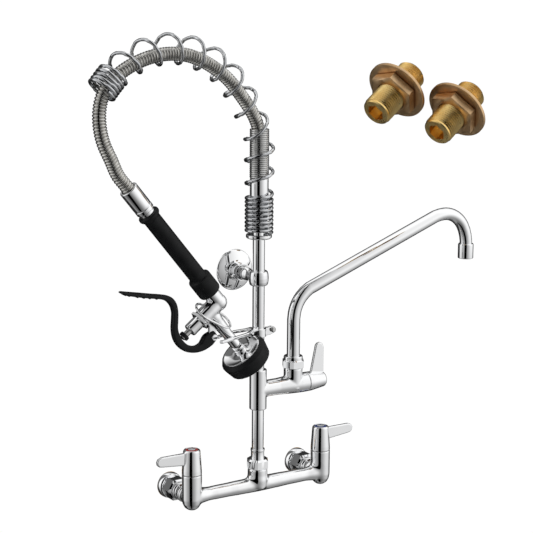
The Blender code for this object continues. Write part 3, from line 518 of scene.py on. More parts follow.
def loft(name, rings, place, look, closed=False):
    """Skins rings of points. A ring of one point is a tip, and open ends are filled."""
    bm = bmesh.new()
    made = [[bm.verts.new(p) for p in ring] for ring in rings]
    pairs = list(zip(made, made[1:]))
    if closed:
        pairs.append((made[-1], made[0]))
    for low, high in pairs:
        count = max(len(low), len(high))
        for i in range(count):
            j = (i + 1) % count
            corners = [low[i % len(low)], low[j % len(low)], high[j % len(high)], high[i % len(high)]]
            corners = list(dict.fromkeys(corners))
            if len(corners) > 2:
                bm.faces.new(corners)
    if not closed:
        for end in (made[0], made[-1]):
            if len(end) > 2:
                bm.faces.new(end)
    return add_mesh(name, bm, place, look)


def turned(name, profile, place, look=CHROME, sides=FINE, ease=True):
    """A turned piece. Each profile point is (radius, height), or (flat, height, 6) on a hexagon."""
    rings = []
    helper = look is None
    phase = HELPER_PHASE if helper else 0
    if ease and (not helper or name.endswith("_form")):
        profile = eased(profile)
    for radius, height, *polygon in profile:
        if radius == 0:
            rings.append([(0, 0, height)])
            continue
        ring = []
        for i in range(sides):
            angle = 2 * math.pi * i / sides + phase
            reach = radius * (polygon_reach(angle, polygon[0]) if polygon else 1)
            ring.append((reach * math.cos(angle), reach * math.sin(angle), height))
        rings.append(ring)
    return loft(name, rings, place, look, closed=profile[0][0] > 0)


def form(name, profile, place, sides=FINE):
    """A turned helper, which is joined to a piece or cut from it."""
    return turned(name, profile, place, None, sides)


def rod(name, radius, start, end, sides=FINE):
    """A helper: a plain round bar between two points."""
    start, end = Vector(start), Vector(end)
    turn = (end - start).to_track_quat("Z", "Y").to_matrix().to_4x4()
    profile = [(0, 0), (radius, 0), (radius, (end - start).length), (0, (end - start).length)]
    return form(name, profile, Matrix.Translation(start) @ turn, sides)


def slab(name, outline, thickness, place, bevel=0.0):
    """A helper: an outline in the local XZ plane, thickened evenly about it along Y."""
    bm = bmesh.new()
    face = bm.faces.new([bm.verts.new((x, -thickness / 2, z)) for x, z in outline])
    moved = bmesh.ops.extrude_face_region(bm, geom=[face])["geom"]
    new = [v for v in moved if isinstance(v, bmesh.types.BMVert)]
    bmesh.ops.translate(bm, verts=new, vec=(0, thickness, 0))
    if bevel:
        edges = [e for e in bm.edges if len({v.co.y for v in e.verts}) == 1]
        bmesh.ops.bevel(bm, geom=edges, offset=bevel, segments=1, affect="EDGES")
    return add_mesh(name, bm, place, None)


def smooth_route(points, spacing):
    """Points a given spacing apart on a natural cubic spline through the route's points."""
    knots = np.array(points, float)
    lengths = np.linalg.norm(np.diff(knots, axis=0), axis=1)
    t = np.concatenate([[0], np.cumsum(lengths)])
    n = len(t)
    system = np.zeros((n, n))
    right = np.zeros((n, 3))
    system[0, 0] = system[-1, -1] = 1
    for i in range(1, n - 1):
        before, after = lengths[i - 1], lengths[i]
        system[i, i - 1 : i + 2] = before, 2 * (before + after), after
        slopes = (knots[i + 1] - knots[i]) / after - (knots[i] - knots[i - 1]) / before
        right[i] = 6 * slopes
    bend = np.linalg.solve(system, right)

    def at(value):
        i = min(int(np.searchsorted(t, value, side="right")) - 1, n - 2)
        h = lengths[i]
        a = (t[i + 1] - value) / h
        b = (value - t[i]) / h
        curve = (a**3 - a) * bend[i] + (b**3 - b) * bend[i + 1]
        return a * knots[i] + b * knots[i + 1] + curve * h * h / 6

    dense = np.array([at(v) for v in np.linspace(0, t[-1], 40 * n)])
    along = np.concatenate([[0], np.cumsum(np.linalg.norm(np.diff(dense, axis=0), axis=1))])
    count = max(2, round(along[-1] / spacing) + 1)
    wanted = np.linspace(0, along[-1], count)
    return [Vector([np.interp(w, along, dense[:, k]) for k in range(3)]) for w in wanted]


def thinned(path, least_turn):
    """Drops the points of a path between which it hardly turns."""
    kept = [path[0]]
    for before, here, after in zip(path, path[1:], path[2:]):
        if (here - kept[-1]).angle(after - here) > least_turn:
            kept.append(here)
    return kept + [path[-1]]


def frames_along(path):
    """A (point, side, other side) frame at each point of a path, turning as little as it can."""
    last = len(path) - 1
    tangents = [(path[min(i + 1, last)] - path[max(i - 1, 0)]).normalized() for i in range(last + 1)]
    side = tangents[0].orthogonal().normalized()
    made = []
    for point, tangent in zip(path, tangents):
        side = (side - tangent * side.dot(tangent)).normalized()
        made.append((point, side, tangent.cross(side)))
    return made


def pipe(name, path, outer, inner, look, sides=FINE):
    """A bent tube of even bore, open at both ends."""
    walls = []
    for radius in (outer, inner):
        wall = []
        for point, side, other in frames_along(path):
            turns = [2 * math.pi * i / sides for i in range(sides)]
            wall.append([point + (side * math.cos(a) + other * math.sin(a)) * radius for a in turns])
        walls.append(wall)
    return loft(name, walls[0] + walls[1][::-1], Matrix(), look, closed=True)


def wire(name, path, radius, look, resolution=5, cyclic=False):
    """A round wire along a path."""
    curve = bpy.data.curves.new(name, "CURVE")
    curve.dimensions = "3D"
    curve.twist_mode = "MINIMUM"
    curve.bevel_depth = radius
    curve.bevel_resolution = resolution
    curve.use_fill_caps = True
    spline = curve.splines.new("POLY")
    spline.points.add(len(path) - 1)
    for slot, point in zip(spline.points, path):
        slot.co = (*point, 1)
    spline.use_cyclic_u = cyclic
    return add_object(name, curve, Matrix(), look)


def combine(target, operation, tools):
    """One Boolean with all its tools at once, kept in a collection that isn't rendered."""
    group = bpy.data.collections.new(f"{target.name}_{operation.lower()}")
    for tool in tools:
        group.objects.link(tool)
    step = target.modifiers.new(group.name, "BOOLEAN")
    step.operation = operation
    step.solver = "EXACT"
    step.operand_type = "COLLECTION"
    step.collection = group
    return target


def join(target, *tools):
    return combine(target, "UNION", tools)


def cut(target, *tools):
    return combine(target, "DIFFERENCE", tools)


def axes(origin, x, y, z):
    """A frame with these unit axes at an origin."""
    made = Matrix((x, y, z)).transposed().to_4x4()
    made.translation = origin
    return made


def at(x=0.0, y=0.0, z=0.0):
    return Matrix.Translation((x, y, z))


ALONG_X = Matrix(((0, 0, 1, 0), (1, 0, 0, 0), (0, 1, 0, 0), (0, 0, 0, 1)))  # local Z becomes +X
ALONG_Y = Matrix(((1, 0, 0, 0), (0, 0, 1, 0), (0, -1, 0, 0), (0, 0, 0, 1)))  # local Z becomes +Y


def arch_point(out, up):
    """A point in the arch's plane, given its distance from the riser and its height."""
    return Vector((-out * math.cos(ARCH_YAW), RISER_Y - out * math.sin(ARCH_YAW), up))


def arch_route(points):
    return [arch_point(out * MM, up * MM) for out, up in points]


# Routes in the arch's plane, given in millimetres out from the riser and up.
HOSE_ROUTE = [
    (0, 417), (0, 432), (0, 447), (0.1, 462), (2.3, 481), (11, 500), (26.5, 520.5), (51.5, 547), (80.8, 566.6),
    (106, 577.2), (136, 581.8), (168, 578.8), (196, 569.6), (214.5, 559.5), (228.5, 547.5), (237.6, 532),
    (241.2, 514), (240, 494), (234, 474), (224.4, 455),
]
HOSE_IN_FERRULE = (-20, -8, 3, 11)  # along the spray valve's barrel from the ferrule's top
SPRING_ROUTE = [
    (0, 344.8), (0, 368), (0, 392), (0, 420), (0, 445), (1.2, 468), (11, 491), (27.5, 520.5), (49.5, 549),
    (76, 569.5), (108, 583.5), (142, 588.2), (177.5, 582.5), (207.5, 569.4), (225, 555.8), (238.8, 540.6),
]

GUN_TOP = arch_point(201.4 * MM, 420.1 * MM)
GUN_DOWN = Vector(
    (math.sin(GUN_TILT) * math.cos(GUN_YAW), math.sin(GUN_TILT) * math.sin(GUN_YAW), -math.cos(GUN_TILT))
)
GUN_SIDE = Vector(
    (-math.cos(GUN_TILT) * math.cos(GUN_YAW), -math.cos(GUN_TILT) * math.sin(GUN_YAW), -math.sin(GUN_TILT))
)
GUN_ACROSS = GUN_DOWN.cross(GUN_SIDE)
# Local X points to the lever, local Z down the barrel and local Y across the spray valve's plane.
GUN = axes(GUN_TOP, GUN_SIDE, GUN_ACROSS, GUN_DOWN)


def gun_point(s, t, w=0.0):
    """A point on the spray valve: s down the barrel, t towards the lever, w across."""
    return GUN @ Vector((t, w, s))


def gun_axis(s=0.0, t=0.0):
    """A frame whose Z runs down the barrel."""
    return GUN @ at(t, 0, s)


def gun_side(s, t=0.0):
    """A frame whose Z runs from the barrel towards the lever."""
    return GUN @ at(t, 0, s) @ ALONG_X


def mm(points):
    """Scales a profile written in millimetres."""
    return [(radius * MM, height * MM, *polygon) for radius, height, *polygon in points]


# ------------------------------------------------------------------ mixing body
HALF = INLET_SPACING / 2
THREAD_PITCH = 1.81  # millimetres
RISER = at(0, RISER_Y, 0)


def make_base_body():
    """The casting: two valve columns, the pipe between them, the riser's spud and two inlet arms."""
    body = turned("base_body", mm([
        (0, -101), (11.4, -101), (10.6, -86), (9.2, -76), (9.3, -46), (10.4, -14), (10.4, 14), (9.3, 46), (9.2, 76),
        (10.6, 86), (11.4, 101), (0, 101),
    ]), at(0, RISER_Y, 0.7 * MM) @ ALONG_X, CAST_CHROME)
    spud = mm([(0, -4), (13.2, -4), (14.2, 8), (13.3, 14), (13.3, 23), (11.2, 23), (11.2, 30.5), (0, 30.5)])
    join(body, form("spud_form", spud, RISER))
    bores = [form("spud_bore", mm([(0, -2), (7.2, -2), (7.2, 40), (0, 40)]), RISER)]
    bores.append(rod("pipe_bore", 6.5 * MM, (-98 * MM, RISER_Y, 0), (98 * MM, RISER_Y, 0), COARSE))
    for side, x in (("hot", -HALF), ("cold", HALF)):
        column = mm([(0, -17), (5.5, -16.2), (9.8, -13), (12.3, -8), (13.3, -2), (13.3, 31.85), (0, 31.85)])
        arm = mm([
            (0, 5.4), (10.2, 5.4), (10.2, 15), (12, 16.2), (12, 19.8), (10.2, 21), (10.2, 27), (12.4, 28.2),
            (12.4, 33.6), (9, 33.6), (9, 43.2), (10.2, 43.2), (10.2, 45.7), (0, 45.7),
        ])
        join(
            body,
            form(f"{side}_column_form", column, at(x, RISER_Y, 0)),
            form(f"{side}_arm_form", arm, at(x, RISER_Y, 0) @ ALONG_Y),
        )
        well = mm([(0, -2.5), (9.1, -2.5), (9.1, 40), (0, 40)])
        bores.append(form(f"{side}_well", well, at(x, RISER_Y, 0)))
        bores.append(rod(f"{side}_inlet_bore", 6.2 * MM, (x, RISER_Y + 4 * MM, 4 * MM), (x, 0, 4 * MM), COARSE))
    cut(body, *bores)


def make_inlet(side, x):
    """Coupling nut, wall flange, nipple, washer and lock nut, from the arm back into the wall."""
    place = at(x, 0, 0) @ ALONG_Y
    turned(f"{side}_coupling_nut", mm([
        (9.35, -27.8), (12.2, -27.8), (14, -26.2, 6), (14, -10.6, 6), (12.6, -9), (10.9, -9), (10.9, -23),
        (9.35, -23),
    ]), place)
    turned(f"{side}_wall_flange", mm([
        (11.2, -8.7), (15.4, -8.7), (16.9, -7.4), (17.7, -4), (17.8, 0), (16, 0), (15.8, -3.8), (14.8, -6.3),
        (11.2, -6.6),
    ]), place)
    thread = []
    for i in range(24):
        crest = -15 + THREAD_PITCH * i
        thread += [(10.55, crest + 0.35), (9.75, crest + 1.1)]
    ends = [(6.2, -16), (9.4, -16), (9.9, -15.2)], [(10, 29.2), (9.3, 30), (5.6, 30, 6), (5.6, 18, 6), (6.2, 17)]
    nipple = mm(ends[0] + thread + ends[1])
    turned(f"{side}_inlet_nipple", nipple, place, BRASS, ease=False)
    turned(f"{side}_inlet_washer", mm([(10.9, 8), (22, 8), (22, 10.3), (10.9, 10.3)]), place, BRONZE)
    turned(f"{side}_lock_nut", mm([
        (10.9, 10.6), (14.4, 10.6), (15.2, 11.3, 6), (15.2, 16.9, 6), (14.4, 17.6), (10.9, 17.6),
    ]), place, BRONZE)


def mark_face(button, rim, height):
    """Gives the middle of an index button's face its grey disc, inside a coloured rim."""
    bm = bmesh.new()
    bm.from_mesh(button.data)
    face = [f for f in bm.faces if min(v.co.z for v in f.verts) > height]
    bmesh.ops.inset_region(bm, faces=face, thickness=rim)
    for f in face:
        f.material_index = 1
    bm.to_mesh(button.data)
    bm.free()
    button.data.materials.append(BUTTON_GREY)


def make_valve(name, seat, blade_angle, hub, index):
    """Cartridge, spindle, handle, screw and index button on a frame whose Z leaves the seam.

    The blade points along local X, turned by blade_angle about the valve's axis.
    """
    length, blade_top, blade_root, end_radius = hub
    turned(f"{name}_cartridge", mm([
        (3.3, -31.5), (8.7, -31.5), (8.7, -2), (7.6, -2), (7.6, 7), (3.3, 7),
    ]), seat, BRASS)
    top = length - 16.4 * MM
    spindle = [(0, -20 * MM), (3, -20 * MM), (3, top), (2.1, top), (2.1, top - 9 * MM), (0, top - 9 * MM)]
    spindle = [(r * MM if r > 1 else r, h) for r, h in spindle]
    turned(f"{name}_spindle", spindle, seat, BRASS, COARSE)
    screw = [(0, -8), (1.8, -8), (1.8, 2.4), (3.7, 2.4), (3.7, 4.6), (0, 4.6)]
    turned(f"{name}_handle_screw", mm(screw), seat @ at(0, 0, top), STEEL, COARSE)
    button = [(0, 9.9), (4, 9.9), (4, 12.6), (end_radius - 3.2, 12.6), (end_radius - 3.2, 16), (0, 16)]
    button = turned(f"{name}_index_button", mm(button), seat @ at(0, 0, top), index)
    mark_face(button, (end_radius - 3.2) * 0.36 * MM, 15.9 * MM)

    hub_form = [
        (0, GAP), (COLUMN_R, GAP), (13.1 * MM, 6 * MM), (end_radius * MM, length - 2 * MM),
        ((end_radius - 1) * MM, length - 0.5 * MM), ((end_radius - 1.6) * MM, length), (0, length),
    ]
    handle = turned(f"{name}_handle", hub_form, seat)
    low, high = length - blade_top - blade_root, length - blade_top
    reach = 52.5 * MM
    outline = [
        (6 * MM, high), (reach - 7 * MM, high), (reach - 2 * MM, high - 2.2 * MM), (reach, high - 6 * MM),
        (reach - 0.6 * MM, high - 10 * MM), (reach - 3.6 * MM, high - 12.8 * MM), (reach - 8 * MM, high - 13.6 * MM),
        (6 * MM, low),
    ]
    turn = Matrix.Rotation(blade_angle, 4, "Z")
    join(handle, slab(f"{name}_blade_form", outline, 4.8 * MM, seat @ turn, 0.9 * MM))
    skirt = mm([(0, -1), (9.4, -1), (9.4, 9), (0, 9)])
    socket = [(0, 5 * MM), (3.3 * MM, 5 * MM), (3.3 * MM, top + GAP), (0, top + GAP)]
    screw_way = mm([(0, -1), (2.3, -1), (2.3, 2.1), (4.3, 2.1), (4.3, 17), (0, 17)])
    button_seat = mm([(0, 12.2), (end_radius - 2.9, 12.2), (end_radius - 2.9, 18), (0, 18)])
    cut(
        handle,
        form(f"{name}_skirt_bore", skirt, seat),
        form(f"{name}_socket_bore", socket, seat, COARSE),
        form(f"{name}_screw_bore", screw_way, seat @ at(0, 0, top), COARSE),
        form(f"{name}_button_bore", button_seat, seat @ at(0, 0, top)),
    )


# Handle hub: length, distance of the blade from its end, width of the blade's root, end radius.
TALL_HUB = (34 * MM, 3.5 * MM, 17.5 * MM, 11.3)
SHORT_HUB = (29 * MM, 1.4 * MM, 22 * MM, 10.2)

make_base_body()
for which, inlet_x, blade, index_look in (("hot", -HALF, math.pi, RED), ("cold", HALF, 0.0, BLUE)):
    make_inlet(which, inlet_x)
    make_valve(which, at(inlet_x, RISER_Y, SEAM_Z), blade, TALL_HUB, index_look)


# ------------------------------------------------------------------ riser
def make_riser():
    turned("riser_union_nut", mm([
        (11.6, 23.4), (12.6, 23.4), (13.8, 24.5, 6), (13.8, 34.6, 6), (12.4, 37), (9.7, 37), (9.7, 34.9),
        (11.6, 34.9),
    ]), RISER)
    turned("riser_tailpiece", mm([
        (8.3, 30.8), (11.3, 30.8), (11.3, 34.6), (9.3, 34.6), (9.3, 38), (9, 39), (9, 47), (9.5, 48), (9.5, 50.5),
        (8.3, 50.5),
    ]), RISER)
    turned("lower_riser", mm([(6.6, 34), (8, 34), (8, 124), (6.6, 124)]), RISER)
    turned("upper_riser", mm([(6.6, 142), (8, 142), (8, 388), (6.6, 388)]), RISER)


def make_add_on():
    """Add-on faucet body: a sleeve on the riser, the level arm and the boss of the swing spout."""
    body = turned("add_on_body", mm([
        (0, 105.6), (11, 105.6), (11.5, 106.2), (11.5, 159.6), (11, 160.2), (0, 160.2),
    ]), RISER, CAST_CHROME)
    arm = mm([(0, 1.3), (11.2, 1.3), (11.2, 30), (12.6, 50), (13.2, 64), (13.3, 76.1), (0, 76.1)])
    boss = mm([(0, -4.7), (12.7, -4.7), (12.7, 22.6), (11.4, 22.6), (11.4, 31), (0, 31)])
    arm_place = at(0, RISER_Y, ARM_Z) @ ALONG_X
    spout_place = at(SPOUT_X, RISER_Y, ARM_Z)
    join(body, form("arm_form", arm, arm_place), form("boss_form", boss, spout_place))
    cut(
        body,
        form("lower_socket", mm([(0, 100), (8.35, 100), (8.35, 124.3), (0, 124.3)]), RISER),
        form("upper_socket", mm([(0, 141.7), (8.35, 141.7), (8.35, 170), (0, 170)]), RISER),
        form("riser_way", mm([(0, 120), (6, 120), (6, 146), (0, 146)]), RISER, COARSE),
        form("boss_bore", mm([(0, 4), (5, 4), (5, 13), (9.15, 13), (9.15, 40), (0, 40)]), spout_place),
        form("arm_bore", mm([(0, 0.6), (5.5, 0.6), (5.5, 56), (0, 56)]), arm_place, COARSE),
        form("arm_well", mm([(0, 43.6), (9.1, 43.6), (9.1, 90), (0, 90)]), arm_place),
    )
    turned("spout_nut", mm([
        (11.75, 155), (12.6, 155), (13.9, 156.2, 6), (13.9, 165, 6), (12.9, 166.4), (12.9, 170.2), (12.1, 171.4),
        (9.2, 171.4), (9.2, 163.4), (11.75, 163.4),
    ]), at(SPOUT_X, RISER_Y, 0))


def make_bracket():
    """Wall bracket: a barrel-shaped clamp on the riser, a telescopic arm and a round wall flange."""
    clamp = turned("bracket_clamp", mm([
        (0, -9.8), (10.6, -9.8), (12, -8.6), (12.9, -5), (13.2, 0), (12.9, 5), (12, 8.6), (10.6, 9.8), (0, 9.8),
    ]), at(0, RISER_Y, BRACKET_Z))
    stub = mm([
        (0, 6), (8.6, 6), (8.2, 14), (6.6, 20), (6.8, 23), (8.4, 27), (8.8, 28), (8.8, 30), (7.9, 30), (7.9, 46),
        (0, 46),
    ])
    join(clamp, form("bracket_stub_form", stub, at(0, RISER_Y, BRACKET_Z) @ ALONG_Y))
    low, high = BRACKET_Z - 12 * MM, BRACKET_Z + 12 * MM
    cut(clamp, rod("bracket_riser_bore", 8.35 * MM, (0, RISER_Y, low), (0, RISER_Y, high)))
    place = at(0, 0, BRACKET_Z) @ ALONG_Y
    turned("bracket_arm_tube", mm([(8.3, -31.6), (9.8, -31.6), (9.8, -10), (8.3, -10)]), place)
    flange = turned("bracket_flange", mm([
        (0, -4), (10.1, -4), (10.1, -24), (11.8, -24), (11.8, -6.6), (14, -5), (24, -3.4), (27.4, -1.6), (28, 0),
        (0, 0),
    ]), place)
    screw_way = (Vector((-1, 0, -0.45))).normalized()
    middle = Vector((0, -17 * MM, BRACKET_Z))
    cut(flange, rod("set_screw_bore", 2.2 * MM, middle + screw_way * 5 * MM, middle + screw_way * 16 * MM, COARSE))
    turn = screw_way.to_track_quat("Z", "Y").to_matrix().to_4x4()
    turned("bracket_set_screw", mm([
        (0, 0), (1.9, 0), (1.9, 2), (3.2, 2.1), (3.2, 3.4), (1.8, 5), (0, 5.3),
    ]), Matrix.Translation(middle + screw_way * 10.1 * MM) @ turn, CHROME, COARSE)


def make_hook():
    """Spray hook: a split band on the riser with two prongs that the outlet neck lies between."""
    hook = turned("spray_hook", mm([(8.3, -4), (10.4, -4), (10.4, 7), (8.3, 7)]), at(0, RISER_Y, HOOK_Z))
    toward = Matrix.Rotation(math.pi + FORK_YAW, 4, "Z")
    lie_flat = Matrix.Rotation(math.pi / 2, 4, "X")
    place = at(0, RISER_Y, HOOK_Z + 7.6 * MM) @ toward @ lie_flat

    def prong(inner, outer, far):
        return [
            (8.9 * MM, 2.4 * MM), (18 * MM, 2 * MM), (38 * MM, inner), (far, inner),
            (far + 2.2 * MM, inner - 1.6 * MM), (far + 4.4 * MM, inner - 0.4 * MM), (far + 3.6 * MM, outer),
            (far - 2 * MM, outer + 0.4 * MM), (36 * MM, outer), (20 * MM, 7 * MM), (8.9 * MM, 6.6 * MM),
        ]

    back = prong(8.4 * MM, 12 * MM, FORK_OUT + 6 * MM)
    front = [(x, -z) for x, z in reversed(prong(9 * MM, 12.6 * MM, FORK_OUT + 24 * MM))]
    bridge = mm([(8.6, -5), (17.3, -4), (17.3, 4), (8.6, 5)])
    helpers = [
        slab("hook_back_form", back, 4 * MM, place, 0.6 * MM),
        slab("hook_front_form", front, 4 * MM, place, 0.6 * MM),
        slab("hook_bridge_form", bridge, 3.4 * MM, place),
    ]
    for sign, word in ((1, "wall"), (-1, "user")):
        ear = mm([(9.2, -3.6), (16, -3.4), (23, -1), (24.6, 1.6), (24.6, 5.4), (22.6, 7.4), (9.2, 6.6)])
        ear_place = at(0, RISER_Y + sign * 2.9 * MM, HOOK_Z)
        helpers.append(slab(f"hook_{word}_ear_form", ear, 1.8 * MM, ear_place))
    join(hook, *helpers)
    slit = mm([(7, -8), (11, -8), (11, 9), (7, 9)])
    screw_x, screw_z, reach = 20 * MM, HOOK_Z + 3.4 * MM, 8 * MM
    cut(
        hook,
        slab("hook_slit", slit, 3.4 * MM, at(0, RISER_Y, HOOK_Z)),
        rod("hook_screw_bore", 2.3 * MM, *[(screw_x, RISER_Y + end, screw_z) for end in (-reach, reach)], COARSE),
        rod("hook_riser_bore", 8.3 * MM, (0, RISER_Y, HOOK_Z - 9 * MM), (0, RISER_Y, HOOK_Z + 12 * MM)),
    )
    turned("hook_clamp_screw", mm([
        (0, -7.6), (2.4, -7.6), (3.6, -6.4), (3.6, -4.2), (2, -4.2), (2, 6.4), (0, 6.4),
    ]), at(screw_x, RISER_Y, screw_z) @ ALONG_Y, STEEL, COARSE)


make_riser()
make_add_on()
ADD_ON_SEAM = 76.3  # millimetres out along the arm
ADD_ON_SEAT = at(0, RISER_Y, ARM_Z) @ ALONG_X @ at(0, 0, ADD_ON_SEAM * MM)
make_valve("add_on", ADD_ON_SEAT, math.pi / 2, SHORT_HUB, GREY)
make_bracket()
make_hook()


# ------------------------------------------------------------------ swing spout
def make_spout():
    """The swing spout turns about the upright line at (SPOUT_X, RISER_Y)."""
    route = [
        (0, 145.4), (0, 160), (0, 195), (0, 220), (2.2, 234), (8.6, 247), (18.6, 257), (30.5, 263.8), (45, 269.4),
        (118, 296.6), (200, 327.3), (224, 336.3), (240, 341), (257, 341.6), (271.5, 336), (282.5, 325.4),
        (288.4, 313.4), (290.9, 303), (291.4, 297), (291.4, 292.5),
    ]
    points = [Vector((SPOUT_X + x * MM, RISER_Y, z * MM)) for x, z in route]
    route = thinned(smooth_route(points, 4 * MM), math.radians(5))
    pipe("spout_tube", route, SPOUT_R, 7.4 * MM, CHROME)
    tip_x = SPOUT_X + 291.4 * MM
    turned("aerator_shell", mm([
        (9.1, 296.3), (10.2, 296.3), (11, 294.8), (11, 275.6), (10.4, 275), (8.8, 275), (8.8, 291.4), (9.1, 291.8),
    ]), at(tip_x, RISER_Y, 0))
    turned("aerator_screen", mm([
        (0, 277.5), (8.5, 277.5), (8.5, 291), (7, 291), (7, 280), (0, 280),
    ]), at(tip_x, RISER_Y, 0), WHITE)


make_spout()


# ------------------------------------------------------------------ overhead spring and hose
def spring_radius(share):
    """The coil opens from the collar to the arch over the first part of its length."""
    return SPRING_LOW_R + (SPRING_ARCH_R - SPRING_LOW_R) * min(1, max(0, (share - 0.1) / 0.12))


def make_overhead_spring():
    """A coil with close turns on the collar, open turns over the arch and close turns at its end."""
    path = smooth_route(arch_route(SPRING_ROUTE), 1 * MM)
    frames = frames_along(path)
    steps = [0.0]
    for here, there in zip(path, path[1:]):
        steps.append(steps[-1] + (there - here).length)
    total = steps[-1]
    open_end, last_start = total - 38 * MM, total - 22 * MM

    def pitch(s):
        knots = [0, 46 * MM, 54 * MM, 118 * MM, 136 * MM, 165 * MM, 190 * MM, open_end, last_start, total]
        values = [5.35, 5.35, 29.2, 31, 37.5, 37.5, 34, 33.8, 4.75, 4.75]
        return float(np.interp(s, knots, values)) * MM

    coil = []
    s, turn = 0.0, 0.0
    start_angle = math.radians(-100)
    while s < total - 0.5 * MM:
        i = min(int(s / total * (len(path) - 1)), len(path) - 1)
        centre, side, other = frames[i]
        angle = start_angle + turn * 2 * math.pi
        reach = spring_radius(s / total)
        coil.append(centre + (side * math.cos(angle) + other * math.sin(angle)) * reach)
        turn += 1 / SPRING_TURN_STEPS
        s += pitch(s) / SPRING_TURN_STEPS
    wire("overhead_spring", coil, SPRING_WIRE_R, SPRING_WIRE)


HOSE_RIB = 3.9 * MM
HOSE_GROOVE = 1.7 * MM
HOSE_SIDES = 44


def make_hose():
    """The hose's stainless strip: rounded ribs with narrow grooves, all along its route."""
    ends = [gun_point(s * MM, 0) for s in HOSE_IN_FERRULE]
    route = smooth_route(arch_route(HOSE_ROUTE) + ends, HOSE_RIB / 10)
    rings, run = [], 0.0
    for i, (point, side, other) in enumerate(frames_along(route)):
        run += (point - route[i - 1]).length if i else 0.0
        radius = HOSE_R - HOSE_GROOVE * (1 - abs(math.sin(math.pi * run / HOSE_RIB)) ** 0.8)
        turns = [2 * math.pi * j / HOSE_SIDES for j in range(HOSE_SIDES)]
        rings.append([point + (side * math.cos(a) + other * math.sin(a)) * radius for a in turns])
    loft("spray_hose", rings, Matrix(), HOSE_STEEL)
    return route, run


def make_hose_fittings():
    turned("spring_collar", mm([
        (8.3, 336.8), (15.6, 336.8), (17, 338.2), (17, 341.4), (16, 342.3), (8.3, 342.3),
    ]), RISER)
    turned("hose_nut", mm([
        (8.3, 372), (11.2, 372), (12.2, 373.2), (12.2, 415.2), (11.6, 416.2), (8.6, 416.2), (8.6, 388.6),
        (8.3, 388.4),
    ]), RISER)
    # Close-wound wire, seen as round ribs.
    turns, low, high, reach = 24, 416.6, 480.0, 12.7
    pitch = (high - low) / turns
    outside = []
    for i in range(turns):
        for j in range(7):
            angle = math.pi * (j / 7)
            height = low + pitch * (i + (1 - math.cos(angle)) / 2)
            outside.append((reach - 1.1 + 1.1 * math.sin(angle) ** 0.7, height))
    guard = mm([(10, 416.6)] + outside + [(reach - 1.1, high), (10.6, 462), (10, 450)])
    turned("hose_guard", guard, RISER, STEEL)


make_hose_fittings()
make_overhead_spring()
HOSE_PATH, HOSE_LENGTH = make_hose()


# ------------------------------------------------------------------ spray valve
def make_barrel():
    turned("hose_ferrule", mm([
        (9.3, 0), (11.4, 0), (12.2, 0.8), (12.2, 29.6), (11.6, 30.2), (11.6, 31.2), (12.2, 31.8), (12.2, 36.6),
        (11.4, 37.3), (10.8, 37.3), (10.8, 46.5), (6, 46.5), (6, 12), (9.3, 12),
    ]), gun_axis())
    turned("spray_grip", mm([
        (11.1, 42), (13, 42), (14.3, 43.6), (14.3, 46.2), (12.8, 48.4), (11.3, 50.5), (11.3, 152), (11.9, 154.4),
        (14.9, 155.4), (15.3, 157), (15.3, 179.4), (14.4, 181.4), (11.4, 182), (11.4, 170), (8.6, 168), (8.6, 47.2),
        (11.1, 46.8),
    ]), gun_axis(), RUBBER)


def make_valve_body():
    """Elbow, chamber, outlet neck and the lug that carries the lever's pin, as one casting."""
    elbow_s = ELBOW_S / MM
    body = turned("spray_valve_body", mm([
        (0, 46.9), (8.3, 46.9), (8.3, 171), (10.8, 171), (10.8, elbow_s - 0.4), (0, elbow_s - 0.4),
    ]), gun_axis(), CAST_CHROME)
    bends = [math.radians(d) for d in range(-60, 61, 20)]
    ball = [(0, -11.7)] + [(11.7 * math.cos(a), 11.7 * math.sin(a)) for a in bends] + [(0, 11.7)]
    ball = [(r, h + elbow_s) for r, h in ball]
    chamber = mm([(0, 1.7), (10.6, 1.7), (11.2, 14), (11.2, 30.4), (0, 30.4)])
    neck = mm([
        (0, elbow_s + 0.9), (9.7, elbow_s + 0.9), (9.7, elbow_s + 12), (8.4, elbow_s + 20), (7.7, elbow_s + 34),
        (7, elbow_s + 42), (7, 267), (7.8, 267.6), (7.8, 270.6), (0, 270.6),
    ])
    pivot_s, pivot_t = PIVOT_ST
    lug = [
        (22 * MM, ELBOW_S + 6.2 * MM), (29.8 * MM, ELBOW_S + 6.2 * MM), (30 * MM, ELBOW_S + 15 * MM),
        (pivot_t + 3.2 * MM, pivot_s - 4.8 * MM), (pivot_t + 4.6 * MM, pivot_s - 1 * MM),
        (pivot_t + 3.6 * MM, pivot_s + 3 * MM), (pivot_t, pivot_s + 4.6 * MM), (pivot_t - 4 * MM, pivot_s + 2.6 * MM),
        (20 * MM, ELBOW_S + 18 * MM),
    ]
    join(
        body,
        form("elbow_ball_form", mm(ball), gun_axis()),
        form("chamber_form", chamber, gun_side(ELBOW_S)),
        form("neck_form", neck, gun_axis(0, NECK_T)),
        slab("lug_form", lug, 4.6 * MM, GUN, 0.4 * MM),
    )
    pin_bore = (gun_point(pivot_s, pivot_t, -12 * MM), gun_point(pivot_s, pivot_t, 12 * MM))
    outlet = mm([(0, elbow_s + 2), (4.4, elbow_s + 2), (4.4, 280), (0, 280)])
    cut(
        body,
        form("inlet_way", mm([(0, 40), (6.4, 40), (6.4, elbow_s), (0, elbow_s)]), gun_axis()),
        form("chamber_way", mm([(0, -3), (5.6, -3), (5.6, 3), (8.3, 3), (8.3, 36), (0, 36)]), gun_side(ELBOW_S)),
        form("outlet_way", outlet, gun_axis(0, NECK_T), COARSE),
        rod("lug_pin_bore", 2.1 * MM, *pin_bore, COARSE),
    )


